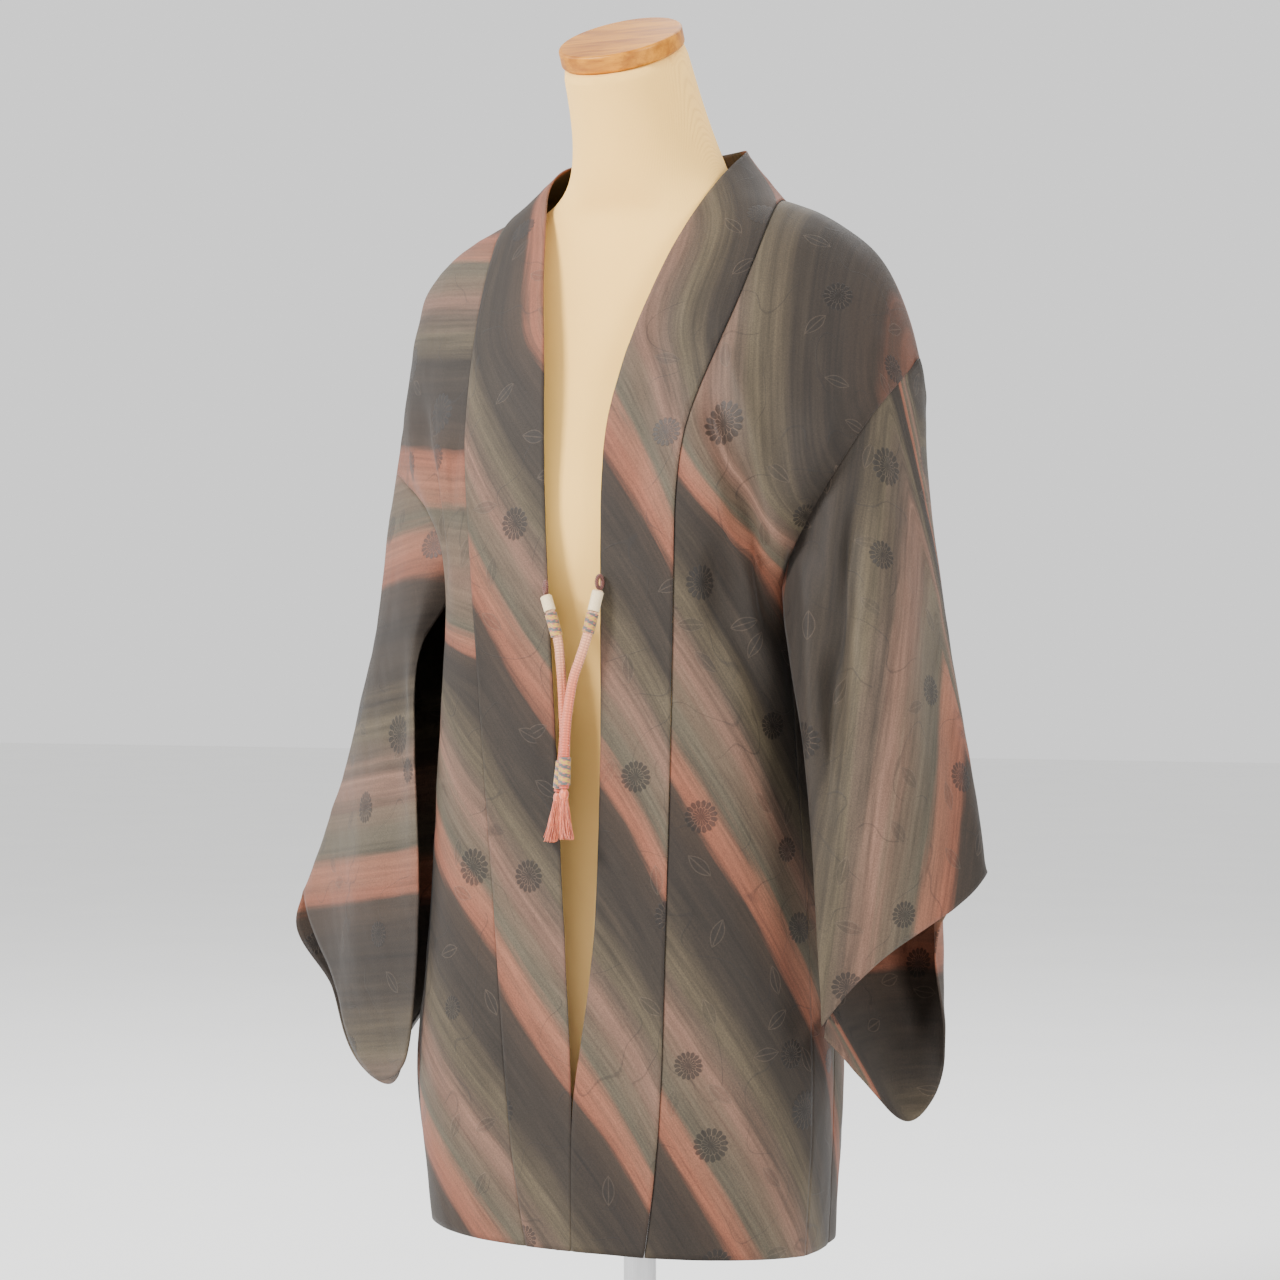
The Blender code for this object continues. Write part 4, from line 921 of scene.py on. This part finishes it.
def press_folds(places, normals, folds):
    """Press troughs, or raise ridges, along lines laid on the side that a fold is seen from."""
    moved = np.zeros(len(places))
    across_view = places @ np.array(ALONG_VIEW)
    height = places[:, 2]
    for side, depth, width, line in folds:
        facing = np.array(TOWARDS_VIEW) * (1.0 if side == "front" else -1.0)
        seen = smooth_share(normals @ facing, 0.0, FACING)
        best = np.full(len(places), FAR_OFF)
        share = np.zeros(len(places))
        for k, ((ax, az), (bx, bz)) in enumerate(zip(line, line[1:])):
            length = (bx - ax) ** 2 + (bz - az) ** 2
            t = ((across_view - ax) * (bx - ax) + (height - az) * (bz - az)) / length
            t = np.clip(t, 0, 1)
            gap = np.hypot(across_view - ax - t * (bx - ax), height - az - t * (bz - az))
            share = np.where(gap < best, (k + t) / (len(line) - 1), share)
            best = np.minimum(best, gap)
        ends = smooth_share(share, 0.0, FOLD_END) * (1.0 - smooth_share(share, 1.0 - FOLD_END, 1.0))
        kept = FOLD_LEAST + (1.0 - FOLD_LEAST) * ends
        moved += depth * seen * kept * np.exp(-(best / width) ** 2)
    return moved


UNEVEN = (
    # half its height, waves to a metre round the body and down it, and how they slant
    (0.0007, 26.0, 9.0, 0.0),
    (0.0005, 70.0, 30.0, 0.6),
)


def uneven(places):
    """The slow waves and small puckers of cloth that hangs free."""
    lift = np.zeros(len(places))
    for k, (x, y, z) in enumerate(places):
        for half, round_body, down, slant in UNEVEN:
            lift[k] += half * (1.0 + noise.noise((round_body * (x + slant * z), round_body * y,
                                                  down * z)))
    return lift


FRONT_SLIT = 0.0118               # where the two ends of the collar band meet, from the middle
SLIT_CLOSED = 0.0004              # how much nearer each end lies than the seams
SLIT_SIDES = (0.008, 0.030)       # it fades between these distances from the slit
SLIT_TOP = (0.27, 0.33)           # and between these heights


def close_front_slit(places):
    """Bring the two hanging ends of the collar band together."""
    x, y, z = places.T
    beside = (1.0 - smooth_share(abs(x - FRONT_SLIT), *SLIT_SIDES)) * (y < 0.0)
    x -= SLIT_CLOSED * np.sign(x - FRONT_SLIT) * beside * (1.0 - smooth_share(z, *SLIT_TOP))


def cut_panel(node, bands, folds):
    """One panel: its sheet laid flat, smoothed, creased, banded and given its thickness."""
    sheet = lay_flat(mesh_of(outer_face(node), node + "_sheet"))
    mesh = subdivided(sheet, node + "_maker", SMOOTHING, "PRESERVE_CORNERS")
    close_seams(mesh)
    places = np.array([v.co for v in mesh.vertices])
    normals = np.array([v.normal for v in mesh.vertices])
    shift = press_folds(places, normals, folds) * held_at_seams(mesh) + uneven(places)
    if node == "collar":
        close_front_slit(places)
    mesh.vertices.foreach_set("co", (places + normals * shift[:, None]).ravel())
    band, run = bands(places)
    note_on(mesh, band=band, run=run)
    panel = add_piece("crepe_" + node, mesh, crepe_finish, "crepe", node)
    wall = panel.modifiers.new("wall", "SOLIDIFY")
    wall.thickness = CLOTH
    wall.offset = -1.0


# The bands of each panel. Each rule gives every point's place in the bands, as a count of
# bands, and the distance that it lies along them.
BODY_ROUND = 0.135                # how far the body cloth hangs from the form's middle line
SLANT_DOWN = 0.73                 # the way that the slanting bands run, down and round
SLANT_ROUND = 0.68


def slanting(places, start, drop, across):
    """Bands that fall to the wearer's left, so many to a metre down and round the body."""
    x, y, z = places.T
    around = BODY_ROUND * np.arctan2(x, -y)
    return start - drop * z - across * around, SLANT_DOWN * z - SLANT_ROUND * around


def collar_bands(places):
    """The same bands on the collar, which follows the neck in to a smaller round."""
    x, y, z = places.T
    around = (x * x + y * y) / BODY_ROUND * np.arctan2(x, -y)
    # the bands stretch by a quarter of one where the collar turns over the shoulder
    band = 2.083 - 4.0 * z - 4.5 * around + 0.28 * smooth_share(z, 0.84, 0.95)
    return band, SLANT_DOWN * z - SLANT_ROUND * around


def in_front(y):
    """1 on the front and over the shoulder, fading to 0 behind it."""
    return 1.0 - smooth_share(y, 0.02, 0.08)


def left_body_bands(places):
    """Slanting bands that turn upright over the left shoulder."""
    x, y, z = places.T
    low, run = slanting(places, start=2.36, drop=3.7, across=7.2)
    # 5.6 bands to a metre across the shoulder, leaning out a little as they come down
    high = -0.97 + 0.9 * (0.88 - z) - 5.6 * x
    over = smooth_share(z + 0.9 * (x - 0.10), 0.70, 0.80) * in_front(y)
    return low + (high - low) * over, run


def right_body_bands(places):
    """Slanting bands that turn level over the right shoulder."""
    x, y, z = places.T
    low, run = slanting(places, start=2.24, drop=4.2, across=4.6)
    # from 811 mm up the bands lie closer together, and they rise a little towards the sleeve
    rising = z - 0.811
    high = np.where(rising > 0.0, 6.2 * rising, 4.0 * rising) + 0.4 * (x + 0.15)
    over = smooth_share(-x, 0.02, 0.06) * smooth_share(z, 0.58, 0.70) * in_front(y)
    return low + (high - low) * over, run


def left_sleeve_bands(places):
    """Upright bands on the front of the sleeve and level ones on its back."""
    x, y, z = places.T
    seen_across = x * math.cos(VIEW_TURN) + y * math.sin(VIEW_TURN)
    front = 6.2 * seen_across - 0.8 * z - 0.191
    back = 2.36 - 4.0 * z
    # the sleeve swings back as it goes out, so its front and back part on a slanting line
    behind = smooth_share(y + 0.085 - 0.80 * (x - 0.15), -0.005, 0.03)
    return front + (back - front) * behind, z + (x + y - z) * behind


def right_sleeve_bands(places):
    """Level bands all round the sleeve."""
    x, y, z = places.T
    return -4.04 * (z - 0.624) + 0.58 * (x + 0.25), x + y


# Folds: side, depth (a minus is a trough), width, and the line, seen from the front left.
LEFT_BODY_FOLDS = (
    ("front", -0.0115, 0.0085, ((0.036, 0.830), (0.0437, 0.801), (0.0693, 0.742),
                                (0.0911, 0.662), (0.098, 0.610))),
    ("front", 0.0070, 0.008, ((0.052, 0.875), (0.059, 0.854), (0.084, 0.772), (0.100, 0.690),
                              (0.106, 0.655))),
    ("front", 0.0042, 0.009, ((0.040, 0.745), (0.066, 0.700), (0.0885, 0.650), (0.112, 0.560))),
    ("front", -0.0045, 0.010, ((0.050, 0.700), (0.066, 0.650), (0.083, 0.600), (0.104, 0.520))),
    ("front", -0.0040, 0.015, ((0.140, 0.881), (0.147, 0.835), (0.155, 0.778))),
    ("front", -0.0028, 0.012, ((0.118, 0.870), (0.123, 0.835), (0.128, 0.795))),
    ("front", -0.0022, 0.020, ((0.100, 0.560), (0.108, 0.450), (0.112, 0.330))),
    ("back", -0.0040, 0.016, ((0.150, 0.700), (0.120, 0.640), (0.100, 0.540))),
    ("back", -0.0030, 0.018, ((0.060, 0.860), (0.085, 0.780), (0.110, 0.700))),
)
RIGHT_BODY_FOLDS = (
    ("front", -0.0060, 0.008, ((-0.124, 0.843), (-0.127, 0.791), (-0.141, 0.757), (-0.144, 0.735),
                               (-0.140, 0.690))),
    ("front", 0.0035, 0.006, ((-0.128, 0.800), (-0.132, 0.760), (-0.132, 0.735), (-0.124, 0.705))),
    ("front", -0.0030, 0.014, ((-0.150, 0.880), (-0.160, 0.820), (-0.163, 0.770))),
    ("back", -0.0040, 0.016, ((-0.080, 0.700), (-0.060, 0.630), (-0.040, 0.540))),
    ("back", -0.0030, 0.018, ((-0.010, 0.860), (-0.045, 0.790), (-0.070, 0.720))),
)
LEFT_SLEEVE_FOLDS = (
    ("front", 0.0045, 0.007, ((0.118, 0.700), (0.122, 0.650), (0.125, 0.590), (0.122, 0.530))),
    ("front", -0.0125, 0.010, ((0.1600, 0.745), (0.147, 0.660), (0.137, 0.597), (0.131, 0.480))),
    ("front", 0.0028, 0.018, ((0.190, 0.700), (0.186, 0.600), (0.190, 0.500))),
    ("front", -0.0026, 0.018, ((0.222, 0.660), (0.226, 0.580), (0.236, 0.500))),
    ("back", -0.0040, 0.018, ((0.215, 0.720), (0.222, 0.620), (0.225, 0.500))),
    ("back", 0.0030, 0.014, ((0.195, 0.660), (0.200, 0.560), (0.205, 0.460))),
)
RIGHT_SLEEVE_FOLDS = (
    ("front", -0.0034, 0.016, ((-0.190, 0.720), (-0.205, 0.600), (-0.228, 0.460))),
    ("front", 0.0026, 0.014, ((-0.205, 0.660), (-0.228, 0.560), (-0.255, 0.450))),
    ("front", -0.0030, 0.012, ((-0.175, 0.620), (-0.182, 0.520), (-0.190, 0.400))),
    ("back", -0.0040, 0.020, ((-0.190, 0.640), (-0.205, 0.540), (-0.225, 0.430))),
    ("back", 0.0030, 0.016, ((-0.160, 0.620), (-0.170, 0.500), (-0.190, 0.400))),
)
COLLAR_FOLDS = (
    ("front", -0.0016, 0.010, ((0.020, 0.900), (0.006, 0.800), (-0.002, 0.700))),
    ("front", -0.0014, 0.012, ((-0.110, 0.860), (-0.105, 0.760), (-0.098, 0.640))),
)

PANELS = (
    # node, bands, folds, flat width and length, flat area, what it rests on
    ("body_left", left_body_bands, LEFT_BODY_FOLDS, (0.32, 1.66), 0.290, ["padded_form"]),
    ("body_right", right_body_bands, RIGHT_BODY_FOLDS, (0.32, 1.66), 0.290, ["padded_form"]),
    ("gusset_left", left_body_bands, (), (0.075, 0.50), 0.025, ["crepe_body_left"]),
    ("gusset_right", right_body_bands, (), (0.085, 0.50), 0.032, ["crepe_body_right"]),
    ("sleeve_left", left_sleeve_bands, LEFT_SLEEVE_FOLDS, (0.36, 1.00), 0.150,
     ["crepe_body_left"]),
    ("sleeve_right", right_sleeve_bands, RIGHT_SLEEVE_FOLDS, (0.36, 1.00), 0.170,
     ["crepe_body_right"]),
    ("collar", collar_bands, COLLAR_FOLDS, (0.062, 1.86), None, ["padded_form"]),
)
for node, bands, folds, flat, area, rests_on in PANELS:
    cut_panel(node, bands, folds)
